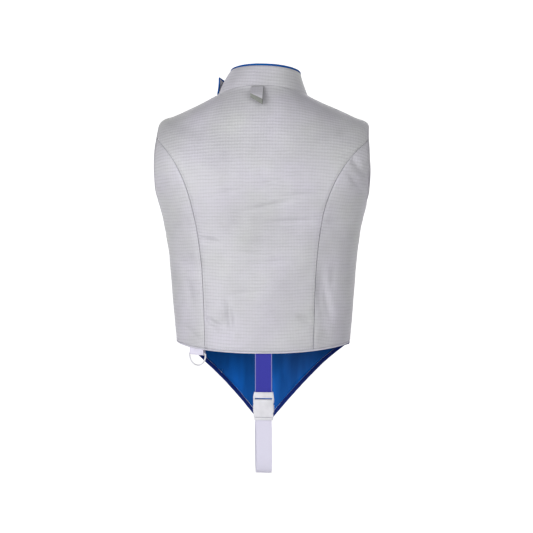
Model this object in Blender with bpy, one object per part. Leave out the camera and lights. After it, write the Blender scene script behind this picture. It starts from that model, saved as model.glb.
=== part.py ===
"""Foil lame: a sleeveless, waist-length over-vest of metallic cloth, filled out as if worn.

Metres, +Z up. The wearer faces -Y and the wearer's left is +X. The origin is the middle of the
neck, at the height where the shoulder lines start.

Every cloth piece is a flat slab of squares whose points are placed on the torso's surface. That
surface is read at a turn, in radians from the middle of the back towards the wearer's left, and
at a level, which counts the rows of TORSO downwards.
"""

import math
from collections import namedtuple

import bmesh
import bpy
from mathutils import Matrix, Vector

# Cloth
WALL = 0.002
SEAM_GAP = 0.0003
ROOM = 0.0006

# Levels of the torso's sections
NECK = 0
SHOULDER_TIP = 4
UNDERARM = 8
HEM = 12
FLAP_TIP = 15

Section = namedtuple("Section", "half_width back front z_back z_side z_front square")
TORSO = (
    Section(0.0830, 0.068, 0.072, 0.013, 0.000, -0.045, 2.1),
    Section(0.1100, 0.084, 0.088, -0.018, -0.0125, -0.070, 2.2),
    Section(0.1390, 0.097, 0.104, -0.050, -0.0253, -0.095, 2.2),
    Section(0.1680, 0.1055, 0.115, -0.084, -0.0383, -0.120, 2.3),
    Section(0.1900, 0.1110, 0.122, -0.112, -0.0482, -0.144, 2.5),
    Section(0.2072, 0.1140, 0.1255, -0.136, -0.082, -0.162, 2.75),
    Section(0.2085, 0.1150, 0.1265, -0.160, -0.122, -0.180, 2.9),
    Section(0.2010, 0.1145, 0.125, -0.185, -0.168, -0.200, 2.8),
    Section(0.1905, 0.1125, 0.121, -0.212, -0.200, -0.220, 2.6),
    Section(0.1801, 0.1070, 0.113, -0.256, -0.250, -0.262, 2.45),
    Section(0.1717, 0.1005, 0.1065, -0.323, -0.316, -0.327, 2.35),
    Section(0.1668, 0.098, 0.107, -0.392, -0.382, -0.396, 2.3),
    Section(0.1610, 0.100, 0.110, -0.4607, -0.4485, -0.465, 2.25),
    Section(0.1555, 0.099, 0.107, -0.512, -0.500, -0.514, 2.2),
    Section(0.1500, 0.096, 0.099, -0.562, -0.555, -0.562, 2.2),
    Section(0.1460, 0.092, 0.088, -0.606, -0.604, -0.606, 2.2),
)

# How much higher the left shoulder sits than the middle, and how far the chest leans to the right
SHOULDER_TILT = 0.0030
SHOULDER_SHIFT = -0.0026

# Largest folds: place on the back or the front, half length, half width, depth and lean
Fold = namedtuple("Fold", "side x z length width depth lean")
FOLDS = (
    Fold(1, -0.116, -0.380, 0.062, 0.011, 0.0030, 4),
    Fold(1, -0.148, -0.226, 0.040, 0.010, 0.0018, 82),
    Fold(1, 0.062, -0.412, 0.030, 0.010, 0.0020, -12),
    Fold(1, 0.140, -0.300, 0.045, 0.012, 0.0018, 70),
    Fold(1, -0.030, -0.276, 0.060, 0.012, 0.0014, 80),
    Fold(-1, -0.080, -0.300, 0.060, 0.012, 0.0022, 76),
    Fold(-1, 0.030, -0.345, 0.055, 0.012, 0.0020, -80),
    Fold(-1, -0.110, -0.230, 0.045, 0.012, 0.0020, 40),
    Fold(-1, 0.010, -0.430, 0.070, 0.014, 0.0022, 8),
)

# Armhole: an oval seen from the side
ARMHOLE_Y = -0.002
ARMHOLE_Z = (TORSO[SHOULDER_TIP].z_side + TORSO[UNDERARM].z_side) / 2
ARMHOLE_REACH = 0.068
ARMHOLE_HEIGHT = (TORSO[SHOULDER_TIP].z_side - TORSO[UNDERARM].z_side) / 2
ARMHOLE_STEPS = 12

# Seams
SHOULDER_SEAM_Y = -0.012
SIDE_SEAM = math.radians(90)
SEAM_X = 0.097
SEAM_SPREAD = 0.099
SEAM_TOP_Z = -0.078
SEAM_FALL = 0.083
SEAM_POINT = 0.0020
FLAP_POINT = 0.0010
BACK_SEAM_GAP = 0.0006
FLAP_SIDE_X = 0.1590
FLAP_TIP_X = 0.0117
FLAP_HOLLOW = 0.0045
FLAP_SHIFT = 0.0047
FLAP_SHIFT_RISE = 3
FLAP_START = 0.03
FLAP_STEP = 0.3
SHOULDER_STEPS = 6
HEM_STEPS = 40
PANEL_COLUMNS = {"back_panel": 20, "side_back": 7, "front_panel": 22, "front_left_panel": 9}

# Zip at the wearer's left front
ZIP_X = 0.088
ZIP_X_AT_NECK = 0.0626
ZIP_DRIFT = 1.5
ZIP_SLOT = 0.0080
ZIP_TAPE_WIDTH = 0.030
ZIP_TAPE_THICKNESS = 0.0009
ZIP_CHAIN_WIDTH = 0.0056
ZIP_CHAIN_THICKNESS = 0.0020
ZIP_END = 11.8
ZIP_CLOSING = 0.2
ZIP_STOP = 0.01
SLIDER_LEVEL = 0.75
SLIDER_SIZE = (0.0100, 0.0130, 0.0022)
LUG_WIDTH = 0.0014
LUG_LENGTH = 0.0028
LUG_ROOM = 0.0002
PIN_DOWN = -0.0020
PIN_HEIGHT = 0.0056
PIN_RADIUS = 0.0008
PIN_ROOM = 0.0004
PULL_SIZE = (0.0064, 0.0290, 0.0014)
PULL_SHARES = (1, 0.66, 0.33, 0.1)
PULL_HOOK = math.radians(255)
PULL_HOOK_STEPS = 8

# Collar
COLLAR_WALL = 0.0020
COLLAR_HALF_WIDTH = 0.0645
COLLAR_BACK = 0.060
COLLAR_FRONT = 0.062
COLLAR_TOP_BACK = 0.0494
COLLAR_TOP_SIDE = 0.0429
COLLAR_TOP_FRONT = -0.003
COLLAR_TOP_BEND = 1.3
COLLAR_NARROWING = 1.15
COLLAR_LEAN = 0.005
COLLAR_TILT = 0.0021
COLLAR_ROWS = 4
COLLAR_BACK_STEPS = 36
COLLAR_FRONT_STEPS = 32
COLLAR_OPENING = math.radians(130)
COLLAR_JOIN = math.radians(265)
TAB_END = math.radians(88)
TAB_START = math.radians(144)
TAB_RISEN = math.radians(132)
TAB_CLEAR = 0.0026
TAB_FLARE = 0.0085
TAB_FLARE_BEND = 1.5
TAB_CURL = 0.0112
TAB_CURL_START = math.radians(125)
TAB_LOW = 0.08
TAB_LOW_START = math.radians(153)
TAB_LOW_SPAN = math.radians(8)
TAB_HIGH = 0.71
TAB_HIGH_START = math.radians(140)
TAB_END_STEPS = 4

# Edgings
EDGING_WIDTH = 0.0028
EDGING_THICKNESS = 0.0027
EDGING_TAPER = 0.5
FLAP_EDGING_WIDTH = 0.0070

# Loop tab at the nape
TAB_X = 0.0038
TAB_WIDTH = 0.022
TAB_PLY = 0.0011
TAB_SLANT = 0.22
TAB_SLANT_START = 0.020
TAB_SLANT_SPAN = 0.008
TAB_LEVELS = (0.05, 0.5, 0.9)

# The tab's middle line, as steps down from the seam and out from the cloth
TAB_ROUTE = (
    (0.0010, 0.0009), (0.0130, 0.0016), (0.0230, 0.0024), (0.0305, 0.0034), (0.0344, 0.0048),
    (0.0356, 0.0066), (0.0342, 0.0086), (0.0310, 0.0101), (0.0268, 0.0106), (0.0215, 0.0098),
    (0.0130, 0.0070), (0.0040, 0.0038),
)

# Strap: elastic band, buckle and webbing
BAND_X = -0.0092
BAND_Y = 0.0945
BAND_WIDTH = 0.030
BAND_THICKNESS = 0.0015
BAND_TOP_Z = -0.424
BAND_FOLD = 0.0024
BAND_STOPS = (0, 0.02, 0.045, 0.07, 0.09)
BAND_TAIL = 0.030
BAND_TAIL_FREE = 0.008
BUCKLE_TOP_Z = -0.5329
BUCKLE_MID = -0.0024
BUCKLE_FOOT = 0.0507
BUCKLE_BAR_RADIUS = 0.0014
BAND_BAR_DROP = 0.0050
WEB_BAR_RISE = 0.0032
WEB_WIDTH = 0.0272
WEB_THICKNESS = 0.0013
WEB_FOLD = 0.0025
WEB_HOLLOW = 0.0011
WEB_END_TURN = 0.06
WEB_PIECES = 5
FOLD_STEPS = 6

# The webbing's middle line: its tail and its run, as steps from the foot of the buckle
WEB_TAIL = ((0, -0.0042, -0.0148), (0, -0.0040, -0.0028))
WEB_RUN = (
    (0, 0.0012, -0.015), (0, -0.0004, -0.041), (0, -0.0030, -0.069), (0.002, -0.0180, -0.0907),
    (0.006, -0.0480, -0.0912), (0.010, -0.0960, -0.0712),
)
WEB_NEAR_TIP = (-0.002, 0.0200, -0.0180)
WEB_AT_TIP = (0, 0.0006, 0.0020)

# Blocks of the fastened buckle: across, down from its top, and out; a sided block stands on both sides
Block = namedtuple("Block", "size centre rounding sided")
PLUG_BLOCKS = (
    Block((0.0370, 0.0104, 0.0018), (0, 0.0052, 0.0024), 0.0005, False),
    Block((0.0026, 0.0148, 0.0086), (0.0171, 0.0076, BUCKLE_MID), 0.0004, True),
    Block((0.0052, 0.0056, 0.0060), (0.0155, 0.0172, BUCKLE_MID), 0.0006, True),
    Block((0.0366, 0.0070, 0.0090), (0, 0.0166, BUCKLE_MID), 0.0008, False),
)
PLUG_BAR_LENGTH = 0.035
SOCKET_BLOCKS = (
    Block((0.0340, 0.0200, 0.0094), (0, 0.0306, BUCKLE_MID), 0.0010, False),
    Block((0.0042, 0.0140, 0.0050), (0.0163, 0.0300, BUCKLE_MID), 0.0008, True),
    Block((0.0021, 0.0130, 0.0082), (0.01595, 0.0438, BUCKLE_MID), 0.0005, True),
    Block((0.0336, 0.0096, 0.0016), (0, 0.0453, 0.0022), 0.0005, False),
)
SOCKET_BAR_LENGTH = 0.032

# D-ring and its tape at the wearer's left back hem
RING_X = 0.1165
RING_HALF_WIDTH = 0.0184
RING_WIRE = 0.002
RING_TAPE_WIDTH = 0.0316
RING_TAPE_PLY = 0.0010
RING_AXIS_DEPTH = 0.0070
RING_AXIS_DROP = 0.0090
RING_ROOM = 0.0004
RING_CORNER = 0.0016
RING_KNEE = 0.0012
RING_SHOULDER = 0.0036
RING_STEPS = 14
RING_TAPE_TOP = -0.018
HEM_FINISH = SEAM_GAP + EDGING_WIDTH

Finish = namedtuple("Finish", "name colour roughness metallic")
LAME = Finish("lame_cloth", (0.56, 0.55, 0.60), 0.45, 0.5)
BLUE = Finish("blue_edging", (0.010, 0.060, 0.280), 0.6, 0.0)
PALE = Finish("pale_tape", (0.74, 0.72, 0.82), 0.7, 0.0)
ELASTIC = Finish("blue_elastic", (0.030, 0.030, 0.320), 0.6, 0.0)
PLASTIC = Finish("white_plastic", (0.78, 0.78, 0.80), 0.4, 0.0)
NICKEL = Finish("zip_metal", (0.60, 0.60, 0.62), 0.3, 1.0)


def clear_scene():
    """Start from an empty scene."""
    for old in list(bpy.data.objects):
        bpy.data.objects.remove(old, do_unlink=True)


def material(finish):
    """The finish's material, made once."""
    made = bpy.data.materials.get(finish.name)
    if made:
        return made
    made = bpy.data.materials.new(finish.name)
    made.use_nodes = True
    shader = made.node_tree.nodes["Principled BSDF"]
    shader.inputs["Base Color"].default_value = (*finish.colour, 1)
    shader.inputs["Roughness"].default_value = finish.roughness
    shader.inputs["Metallic"].default_value = finish.metallic
    return made


def add_object(name, shape, finish, origin=Vector()):
    """An object from a bmesh, with its origin at a point."""
    bmesh.ops.recalc_face_normals(shape, faces=shape.faces)
    if shape.calc_volume(signed=True) < 0:
        bmesh.ops.reverse_faces(shape, faces=shape.faces)
    bmesh.ops.translate(shape, verts=shape.verts, vec=-origin)
    mesh = bpy.data.meshes.new(name)
    shape.to_mesh(mesh)
    shape.free()
    mesh.shade_smooth()
    mesh.set_sharp_from_angle(angle=math.radians(40))
    mesh.materials.append(material(finish))
    thing = bpy.data.objects.new(name, mesh)
    thing.location = origin
    bpy.context.collection.objects.link(thing)
    return thing


def slab(name, columns, rows, place, finish, origin=Vector()):
    """A closed wall: a flat slab of squares, each point moved by place(across, down, depth)."""
    shape = bmesh.new()
    bmesh.ops.create_grid(shape, x_segments=columns, y_segments=rows, size=0.5)
    made = bmesh.ops.extrude_face_region(shape, geom=shape.faces[:])
    inner = [part for part in made["geom"] if isinstance(part, bmesh.types.BMVert)]
    bmesh.ops.translate(shape, verts=inner, vec=(0, 0, 1))
    for point in shape.verts:
        across, down, depth = point.co
        point.co = place(across + 0.5, down + 0.5, depth)
    return add_object(name, shape, finish, origin)


def smooth_step(value):
    """0 below 0, 1 above 1, and a soft rise between."""
    value = min(max(value, 0), 1)
    return value * value * (3 - 2 * value)


def solve(error, low, high):
    """The place between low and high where an error changes sign."""
    rising = error(low) < 0
    for _ in range(36):
        middle = (low + high) / 2
        if (error(middle) < 0) == rising:
            low = middle
        else:
            high = middle
    return (low + high) / 2


def section(level):
    """The torso's section at a level, read smoothly between the rows of TORSO."""
    last = len(TORSO) - 2
    low = min(max(int(level), 0), last)
    part = level - low
    before = TORSO[max(low - 1, 0)]
    after = TORSO[min(low + 2, last + 1)]
    values = []
    for a, b, c, d in zip(before, TORSO[low], TORSO[low + 1], after):
        leave = (c - a) / 2
        arrive = (d - b) / 2
        rise = c - b
        bend = 3 * rise - 2 * leave - arrive + part * (leave + arrive - 2 * rise)
        values.append(b + part * (leave + part * bend))
    return Section(*values)


def torso_point(turn, level):
    """A point of the torso's smooth surface, without its folds."""
    ring = section(level)
    side, along = math.sin(turn), math.cos(turn)
    size = (abs(side) ** ring.square + abs(along) ** ring.square) ** (-1 / ring.square)
    side, along = side * size, along * size
    depth, end_z = (ring.back, ring.z_back) if along > 0 else (ring.front, ring.z_front)
    return Vector((
        ring.half_width * side,
        depth * along,
        ring.z_side + (end_z - ring.z_side) * along * along,
    ))


def torso_normal(turn, level):
    """The direction out of the torso's surface."""
    step = 0.02
    round_it = torso_point(turn + step, level) - torso_point(turn - step, level)
    down = torso_point(turn, level + step) - torso_point(turn, level - step)
    normal = down.cross(round_it).normalized()
    return normal if normal.dot(torso_point(turn, level) * Vector((1, 1, 0))) > 0 else -normal


def fold_depth(point):
    """How far the largest folds sink the cloth at a point."""
    sunk = 0
    for fold in FOLDS:
        if fold.side * point.y > 0:
            lean = math.radians(fold.lean)
            x, z = point.x - fold.x, point.z - fold.z
            along = z * math.cos(lean) + x * math.sin(lean)
            off = x * math.cos(lean) - z * math.sin(lean)
            sunk += fold.depth * math.exp(-(along / fold.length) ** 2 - (off / fold.width) ** 2)
    return sunk


def torso(turn, level, depth=0.0):
    """A point of the cloth, at a depth under its outer face."""
    point = torso_point(turn, level)
    share = math.sin(math.pi * min(max(level / UNDERARM, 0), 1))
    tilt = SHOULDER_TILT * share * point.x / TORSO[SHOULDER_TIP].half_width
    moved = Vector((SHOULDER_SHIFT * share, 0, tilt))
    return point + moved - torso_normal(turn, level) * (depth + fold_depth(point))


def turn_for(distance, turn, level):
    """The turn that moves a point round the torso by a distance."""
    step = 0.01
    round_it = torso_point(turn + step, level) - torso_point(turn - step, level)
    return distance * 2 * step / round_it.length


def armhole_turn(level, towards):
    """Where the armhole's oval meets a level, on its back or front side."""
    def outside(turn):
        point = torso_point(turn, level)
        reach = (point.y - ARMHOLE_Y) / ARMHOLE_REACH
        height = (point.z - ARMHOLE_Z) / ARMHOLE_HEIGHT
        return reach * reach + height * height - 1
    return solve(outside, SIDE_SEAM, SIDE_SEAM + towards * math.radians(55))


def shoulder_turn(level):
    """Where the shoulder seam meets a level, a little forward of the shoulder's ridge."""
    return solve(lambda turn: SHOULDER_SEAM_Y - torso_point(turn, level).y, SIDE_SEAM, math.radians(140))


def back_seam_turn(level):
    """Where the curved back seam meets a level. It falls from the armhole and straightens."""
    def beyond(turn):
        point = torso_point(turn, level)
        return point.x - SEAM_X - SEAM_SPREAD * math.exp((point.z - SEAM_TOP_Z) / SEAM_FALL)
    return solve(beyond, math.radians(5), SIDE_SEAM)


def zip_turn(level):
    """Where the zip's middle meets a level."""
    reach = ZIP_X + (ZIP_X_AT_NECK - ZIP_X) * math.exp(-level / ZIP_DRIFT)
    return solve(lambda turn: torso_point(turn, level).x - reach, SIDE_SEAM, math.radians(180))


def flap_turn(level, side):
    """Where the front's slanting lower edge meets a level, at the wearer's left (1) or right (-1)."""
    hem_z, tip_z = TORSO[HEM].z_side, TORSO[FLAP_TIP].z_side

    def beyond(turn):
        point = torso_point(turn, level)
        share = min(max((hem_z - point.z) / (hem_z - tip_z), 0), 1)
        reach = FLAP_SIDE_X + (FLAP_TIP_X - FLAP_SIDE_X) * share
        hollow = FLAP_HOLLOW * math.sin(math.pi * share)
        return side * (point.x - FLAP_SHIFT * smooth_step(share * FLAP_SHIFT_RISE)) - reach + hollow
    turn = solve(lambda part: beyond(side * part), SIDE_SEAM, math.radians(180))
    return turn if side > 0 else math.radians(360) - turn


def armhole_levels():
    """Levels round the armhole, close together where it turns."""
    span = UNDERARM - SHOULDER_TIP
    share = [(1 - math.cos(math.pi * step / ARMHOLE_STEPS)) / 2 for step in range(ARMHOLE_STEPS + 1)]
    levels = [SHOULDER_TIP + span * part for part in share]
    nearest = min(range(1, ARMHOLE_STEPS), key=lambda place: abs(levels[place] - SEAM_START))
    levels[nearest] = SEAM_START
    return levels


SEAM_START = solve(lambda level: armhole_turn(level, -1) - back_seam_turn(level), 4.05, 6)
ARMHOLE_LEVELS = armhole_levels()
SHOULDER_LEVELS = [SHOULDER_TIP * step / SHOULDER_STEPS for step in range(SHOULDER_STEPS + 1)]
BODY_LEVELS = sorted([UNDERARM + 0.5 * step for step in range(1, 9)] + [ZIP_END])
TO_HEM = SHOULDER_LEVELS + ARMHOLE_LEVELS[1:] + BODY_LEVELS


def back_edge(level):
    """The back panel's left edge: shoulder seam, armhole, then the curved seam."""
    if level <= SHOULDER_TIP:
        return shoulder_turn(level) - turn_for(SEAM_GAP / 2, SIDE_SEAM, level)
    if level < SEAM_START:
        return armhole_turn(level, -1)
    return seam_edge(level) - turn_for(BACK_SEAM_GAP / 2, SIDE_SEAM, level)


def seam_edge(level):
    """The curved seam, stopped short of the armhole so that the side panel starts with a width."""
    start = armhole_turn(level, -1) if level < UNDERARM else SIDE_SEAM
    return min(back_seam_turn(level), start - turn_for(SEAM_POINT, start, level))


def side_edge(level, towards):
    """The armhole's edge, then the side seam, on the side panel (-1) or the front (1)."""
    if level < UNDERARM:
        return armhole_turn(level, towards)
    return SIDE_SEAM + towards * turn_for(SEAM_GAP / 2, SIDE_SEAM, level)


def front_edge(level):
    """The front's outer edge: shoulder seam, armhole, side seam."""
    if level <= SHOULDER_TIP:
        return shoulder_turn(level) + turn_for(SEAM_GAP / 2, SIDE_SEAM, level)
    return side_edge(level, 1)


def zip_edge(level, towards):
    """A front panel's edge beside the zip's slot."""
    turn = zip_turn(level)
    width = ZIP_SLOT + (SEAM_GAP - ZIP_SLOT) * smooth_step((level - ZIP_END) / ZIP_CLOSING)
    return turn + towards * turn_for(width / 2, turn, level)


def left_front_width(level):
    """How far the left front still reaches round, at a level under the hem."""
    last = zip_edge(level, -1)
    return last - flap_turn(level, 1) - turn_for(FLAP_POINT, last, level)


def flap_levels():
    """Levels under the hem, with one where each front meets the slanting edge at the zip."""
    left_end = solve(left_front_width, HEM, FLAP_TIP)
    right_end = solve(lambda level: zip_edge(level, 1) - flap_turn(level, 1), HEM, FLAP_TIP)
    ends = [left_end, right_end]
    even = [HEM + FLAP_STEP * step for step in range(1, 11)]
    apart = [level for level in even if min(abs(level - end) for end in ends) > FLAP_STEP / 3]
    return left_end, right_end, sorted(ends + apart)


LEFT_FRONT_END, FRONT_CORNER, FLAP_LEVELS = flap_levels()


def panel(name, rows, columns):
    """A cloth panel from rows of (level, first turn, last turn)."""
    def place(across, down, depth):
        level, first, last = rows[round(down * (len(rows) - 1))]
        return torso(first + (last - first) * across, level, depth * WALL)
    return slab(name, columns, len(rows) - 1, place, LAME)


def make_back_panel():
    """The middle of the back, from neck to hem between the two curved seams."""
    rows = [(level, -back_edge(level), back_edge(level)) for level in TO_HEM]
    return panel("back_panel", rows, PANEL_COLUMNS["back_panel"])


def make_side_back(name, side):
    """The back's side piece, from a point at the armhole down to the hem."""
    levels = [level for level in TO_HEM if level >= SEAM_START]
    rows = []
    for level in levels:
        first = seam_edge(level) + turn_for(BACK_SEAM_GAP / 2, SIDE_SEAM, level)
        rows.append((level, side * first, side * side_edge(level, -1)))
    return panel(name, rows, PANEL_COLUMNS["side_back"])


def make_front_panel():
    """The whole front up to the zip, with the pointed flap under it."""
    rows = []
    full_turn = math.radians(360)
    for level in TO_HEM:
        rows.append((level, zip_edge(level, 1), full_turn - front_edge(level)))
    for level in FLAP_LEVELS:
        near = zip_edge(level, 1) if level < FRONT_CORNER else flap_turn(level, 1)
        rows.append((level, near, flap_turn(level, -1)))
    return panel("front_panel", rows, PANEL_COLUMNS["front_panel"])


def make_front_left_panel():
    """The narrow front piece between the zip and the left side seam."""
    rows = [(level, front_edge(level), zip_edge(level, -1)) for level in TO_HEM]
    for level in FLAP_LEVELS:
        if level <= LEFT_FRONT_END:
            rows.append((level, flap_turn(level, 1), zip_edge(level, -1)))
    return panel("front_left_panel", rows, PANEL_COLUMNS["front_left_panel"])


def collar_lift(turn):
    """0 on the collar, rising to 1 where its front end passes outside the back part."""
    return smooth_step((TAB_START - turn) / (TAB_START - TAB_RISEN))


def collar_surface(turn, height, lifted=False):
    """A point of the collar's outside, height 0 at the neck seam and 1 at the top edge."""
    foot = torso_point(turn, NECK)
    flat = Vector((foot.x, foot.y, 0))
    foot += (foot - torso_point(turn, NECK + 0.1)).normalized() * ROOM
    side, along = flat.x / TORSO[NECK].half_width, flat.y
    along /= TORSO[NECK].back if along > 0 else TORSO[NECK].front
    back = along > 0
    end_z = COLLAR_TOP_BACK if back else COLLAR_TOP_FRONT
    top = Vector((
        COLLAR_HALF_WIDTH * side,
        (COLLAR_BACK if back else COLLAR_FRONT) * along,
        COLLAR_TOP_SIDE + (end_z - COLLAR_TOP_SIDE) * abs(along) ** COLLAR_TOP_BEND + COLLAR_TILT * side,
    ))
    narrowing = height ** COLLAR_NARROWING if height > 0 else 0
    point = foot.lerp(top, narrowing)
    point.z = foot.z + (top.z - foot.z) * height
    point.x -= COLLAR_LEAN * height * height
    if lifted:
        out = flat.normalized()
        point += out * collar_lift(turn) * (TAB_CLEAR + TAB_FLARE * max(height, 0) ** TAB_FLARE_BEND)
        curl = smooth_step((TAB_CURL_START - turn) / (TAB_CURL_START - TAB_END))
        point += out * TAB_CURL * curl * height * height
    return point


def collar_normal(turn, height, lifted=False):
    """The direction out of the collar."""
    step = 0.02
    round_it = collar_surface(turn + step, height, lifted) - collar_surface(turn - step, height, lifted)
    up = collar_surface(turn, height + step, lifted) - collar_surface(turn, height, lifted)
    normal = up.cross(round_it).normalized()
    return normal if normal.dot(collar_surface(turn, height) * Vector((1, 1, 0))) > 0 else -normal


def front_collar_low(turn):
    """The front collar's lower edge, which rises before the end passes outside."""
    return TAB_LOW * smooth_step((TAB_LOW_START - turn) / TAB_LOW_SPAN)


def front_collar_high(turn):
    """The front collar's upper edge, lower on the overlapping end."""
    return 1 - (1 - TAB_HIGH) * smooth_step((TAB_HIGH_START - turn) / (TAB_HIGH_START - TAB_END))


def back_collar_turn(share):
    """The turn at a share of the back collar's length, from the right shoulder round to the zip."""
    first = COLLAR_JOIN - math.radians(360) + turn_for(SEAM_GAP, SIDE_SEAM, NECK)
    return first + (COLLAR_OPENING - first) * share


def make_collar_back():
    """The standing collar from the zip round the back to the right shoulder."""
    def place(across, down, depth):
        turn = back_collar_turn(down)
        return collar_surface(turn, across) - collar_normal(turn, across) * COLLAR_WALL * depth
    return slab("collar_back", COLLAR_ROWS, COLLAR_BACK_STEPS, place, LAME)


def make_collar_front():
    """The standing collar's front, whose end passes over the opening as a fastening tab."""
    def place(across, down, depth):
        turn = COLLAR_JOIN + (TAB_END - COLLAR_JOIN) * down
        low, high = front_collar_low(turn), front_collar_high(turn)
        height = low + (high - low) * across
        normal = collar_normal(turn, height, True)
        return collar_surface(turn, height, True) - normal * COLLAR_WALL * depth
    return slab("collar_front", COLLAR_ROWS, COLLAR_FRONT_STEPS, place, LAME)


Edge = namedtuple("Edge", "point inside normal")


def edging(name, path, width, thickness, wall, finish, columns=2):
    """A narrow binding along a cloth edge, a seam gap away and a little thicker. Its ends are mitred."""
    last = len(path) - 1

    def place(across, down, depth):
        here = round(down * last)
        edge = path[here]
        tangent = (path[min(here + 1, last)].point - path[max(here - 1, 0)].point).normalized()
        normal = (edge.normal - tangent * edge.normal.dot(tangent)).normalized()
        away = edge.point - edge.inside
        away -= normal * away.dot(normal)
        out = (away - tangent * away.dot(tangent)).normalized()
        if here in (0, last):
            out = away / away.dot(out)
        swell = thickness * (1 - EDGING_TAPER * across ** 3)
        return edge.point + out * (SEAM_GAP + width * across) + normal * ((0.5 - depth) * swell - wall / 2)
    return slab(name, columns, last, place, finish)


def torso_edge(turn, level, inside):
    """An edge point on the torso's cloth."""
    return Edge(torso(turn, level), inside, torso_normal(turn, level))


def make_collar_edgings():
    """Blue piping along the collar's upper edges and round the end of its tab."""
    inwards = 0.2
    back = []
    for step in range(COLLAR_BACK_STEPS + 1):
        turn = back_collar_turn(step / COLLAR_BACK_STEPS)
        below = collar_surface(turn, 1 - inwards)
        back.append(Edge(collar_surface(turn, 1), below, collar_normal(turn, 1)))
    front = []
    for step in range(COLLAR_FRONT_STEPS + 1):
        turn = COLLAR_JOIN + (TAB_END - COLLAR_JOIN) * step / COLLAR_FRONT_STEPS
        high = front_collar_high(turn)
        below = collar_surface(turn, high - inwards, True)
        front.append(Edge(collar_surface(turn, high, True), below, collar_normal(turn, high, True)))
    for step in range(1, TAB_END_STEPS + 1):
        height = TAB_HIGH + (TAB_LOW - TAB_HIGH) * step / TAB_END_STEPS
        beside = collar_surface(TAB_END + inwards / 2, height, True)
        normal = collar_normal(TAB_END, height, True)
        front.append(Edge(collar_surface(TAB_END, height, True), beside, normal))
    edging("collar_edging_back", back, EDGING_WIDTH, EDGING_THICKNESS, COLLAR_WALL, BLUE)
    edging("collar_edging_front", front, EDGING_WIDTH, EDGING_THICKNESS, COLLAR_WALL, BLUE)


def make_armhole_edging(name, side):
    """The binding round one armhole, in one length that meets itself under the arm."""
    apart = turn_for(SEAM_GAP / 2, SIDE_SEAM, UNDERARM)
    route = [(SIDE_SEAM - apart, UNDERARM)]
    route += [(armhole_turn(level, -1), level) for level in reversed(ARMHOLE_LEVELS[1:-1])]
    route += [(shoulder_turn(SHOULDER_TIP), SHOULDER_TIP)]
    route += [(armhole_turn(level, 1), level) for level in ARMHOLE_LEVELS[1:-1]]
    route += [(SIDE_SEAM + apart, UNDERARM)]
    path = []
    for turn, level in route:
        point = torso(side * turn, level)
        hole = Vector((point.x, ARMHOLE_Y, ARMHOLE_Z))
        path.append(torso_edge(side * turn, level, point + (point - hole)))
    return edging(name, path, EDGING_WIDTH, EDGING_THICKNESS, WALL, LAME)


def make_hem_edging():
    """The pale bound edge along the back hem."""
    path = []
    reach = SIDE_SEAM - turn_for(SEAM_GAP, SIDE_SEAM, HEM)
    for step in range(HEM_STEPS + 1):
        turn = -reach + 2 * reach * step / HEM_STEPS
        path.append(torso_edge(turn, HEM, torso(turn, HEM - 0.5)))
    return edging("hem_edging", path, EDGING_WIDTH, EDGING_THICKNESS, WALL, PALE)


def flap_start(side):
    """The first point of a flap edging, just past the side seam along the cloth's edge."""
    first = FLAP_LEVELS[0]
    corner = torso(side * SIDE_SEAM, HEM).lerp(torso(flap_turn(first, side), first), FLAP_START)
    return Edge(corner, corner + Vector((0, 0, FLAP_EDGING_WIDTH)), torso_normal(side * SIDE_SEAM, HEM))


def flap_end(level):
    """The last point of a flap edging, cut off upright at the seam under the zip."""
    turn = flap_turn(level, 1)
    corner = torso(turn, level)
    return Edge(corner, corner + Vector((0, 0, FLAP_EDGING_WIDTH)), torso_normal(turn, level))


def make_flap_edgings():
    """Dark blue binding along the front's slanting edges and across the flap's tip."""
    middle = torso(math.radians(180), HEM)
    right = [flap_start(-1)]
    left = [flap_end(FRONT_CORNER)]
    for level in FLAP_LEVELS:
        right.append(torso_edge(flap_turn(level, -1), level, middle))
        if level > FRONT_CORNER:
            left.append(torso_edge(flap_turn(level, 1), level, middle))
    across = [right[-1].point.lerp(left[-1].point, share) for share in (0.25, 0.5, 0.75)]
    tip = [Edge(point, middle, right[-1].normal) for point in across]
    edging("flap_edging_right", right + tip + left[::-1], FLAP_EDGING_WIDTH, EDGING_THICKNESS, WALL, BLUE)
    near_side = [flap_start(1)]
    for level in FLAP_LEVELS:
        if level < LEFT_FRONT_END:
            near_side.append(torso_edge(flap_turn(level, 1), level, middle))
    near_side.append(flap_end(LEFT_FRONT_END))
    edging("flap_edging_left", near_side, FLAP_EDGING_WIDTH, EDGING_THICKNESS, WALL, BLUE)


def make_zip():
    """Zip tape under the slot, the closed chain in it, the slider and its pull."""
    def strip(levels, width, top, thickness):
        def place(across, down, depth):
            level = levels[round(down * (len(levels) - 1))]
            turn = zip_turn(level)
            turn += turn_for((across - 0.5) * width, turn, level)
            return torso(turn, level, top + depth * thickness)
        return place
    chain = [level for level in TO_HEM if level < ZIP_END + ZIP_STOP]
    place_tape = strip(TO_HEM, ZIP_TAPE_WIDTH, WALL + ROOM, ZIP_TAPE_THICKNESS)
    place_chain = strip(chain, ZIP_CHAIN_WIDTH, 0, ZIP_CHAIN_THICKNESS)
    slab("zip_tape", 4, len(TO_HEM) - 1, place_tape, PALE)
    slab("zip_chain", 1, len(chain) - 1, place_chain, NICKEL)
    make_slider(slider_frame())


def slider_frame():
    """Axes of the slider: across the zip, down along it, and out from the cloth."""
    turn = zip_turn(SLIDER_LEVEL)
    place = torso(turn, SLIDER_LEVEL)
    down = torso(zip_turn(SLIDER_LEVEL + 0.2), SLIDER_LEVEL + 0.2) - place
    out = torso_normal(turn, SLIDER_LEVEL)
    down = (down - out * down.dot(out)).normalized()
    frame = Matrix((down.cross(out), down, out)).transposed().to_4x4()
    frame.translation = place + out * ROOM
    return frame


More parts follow.
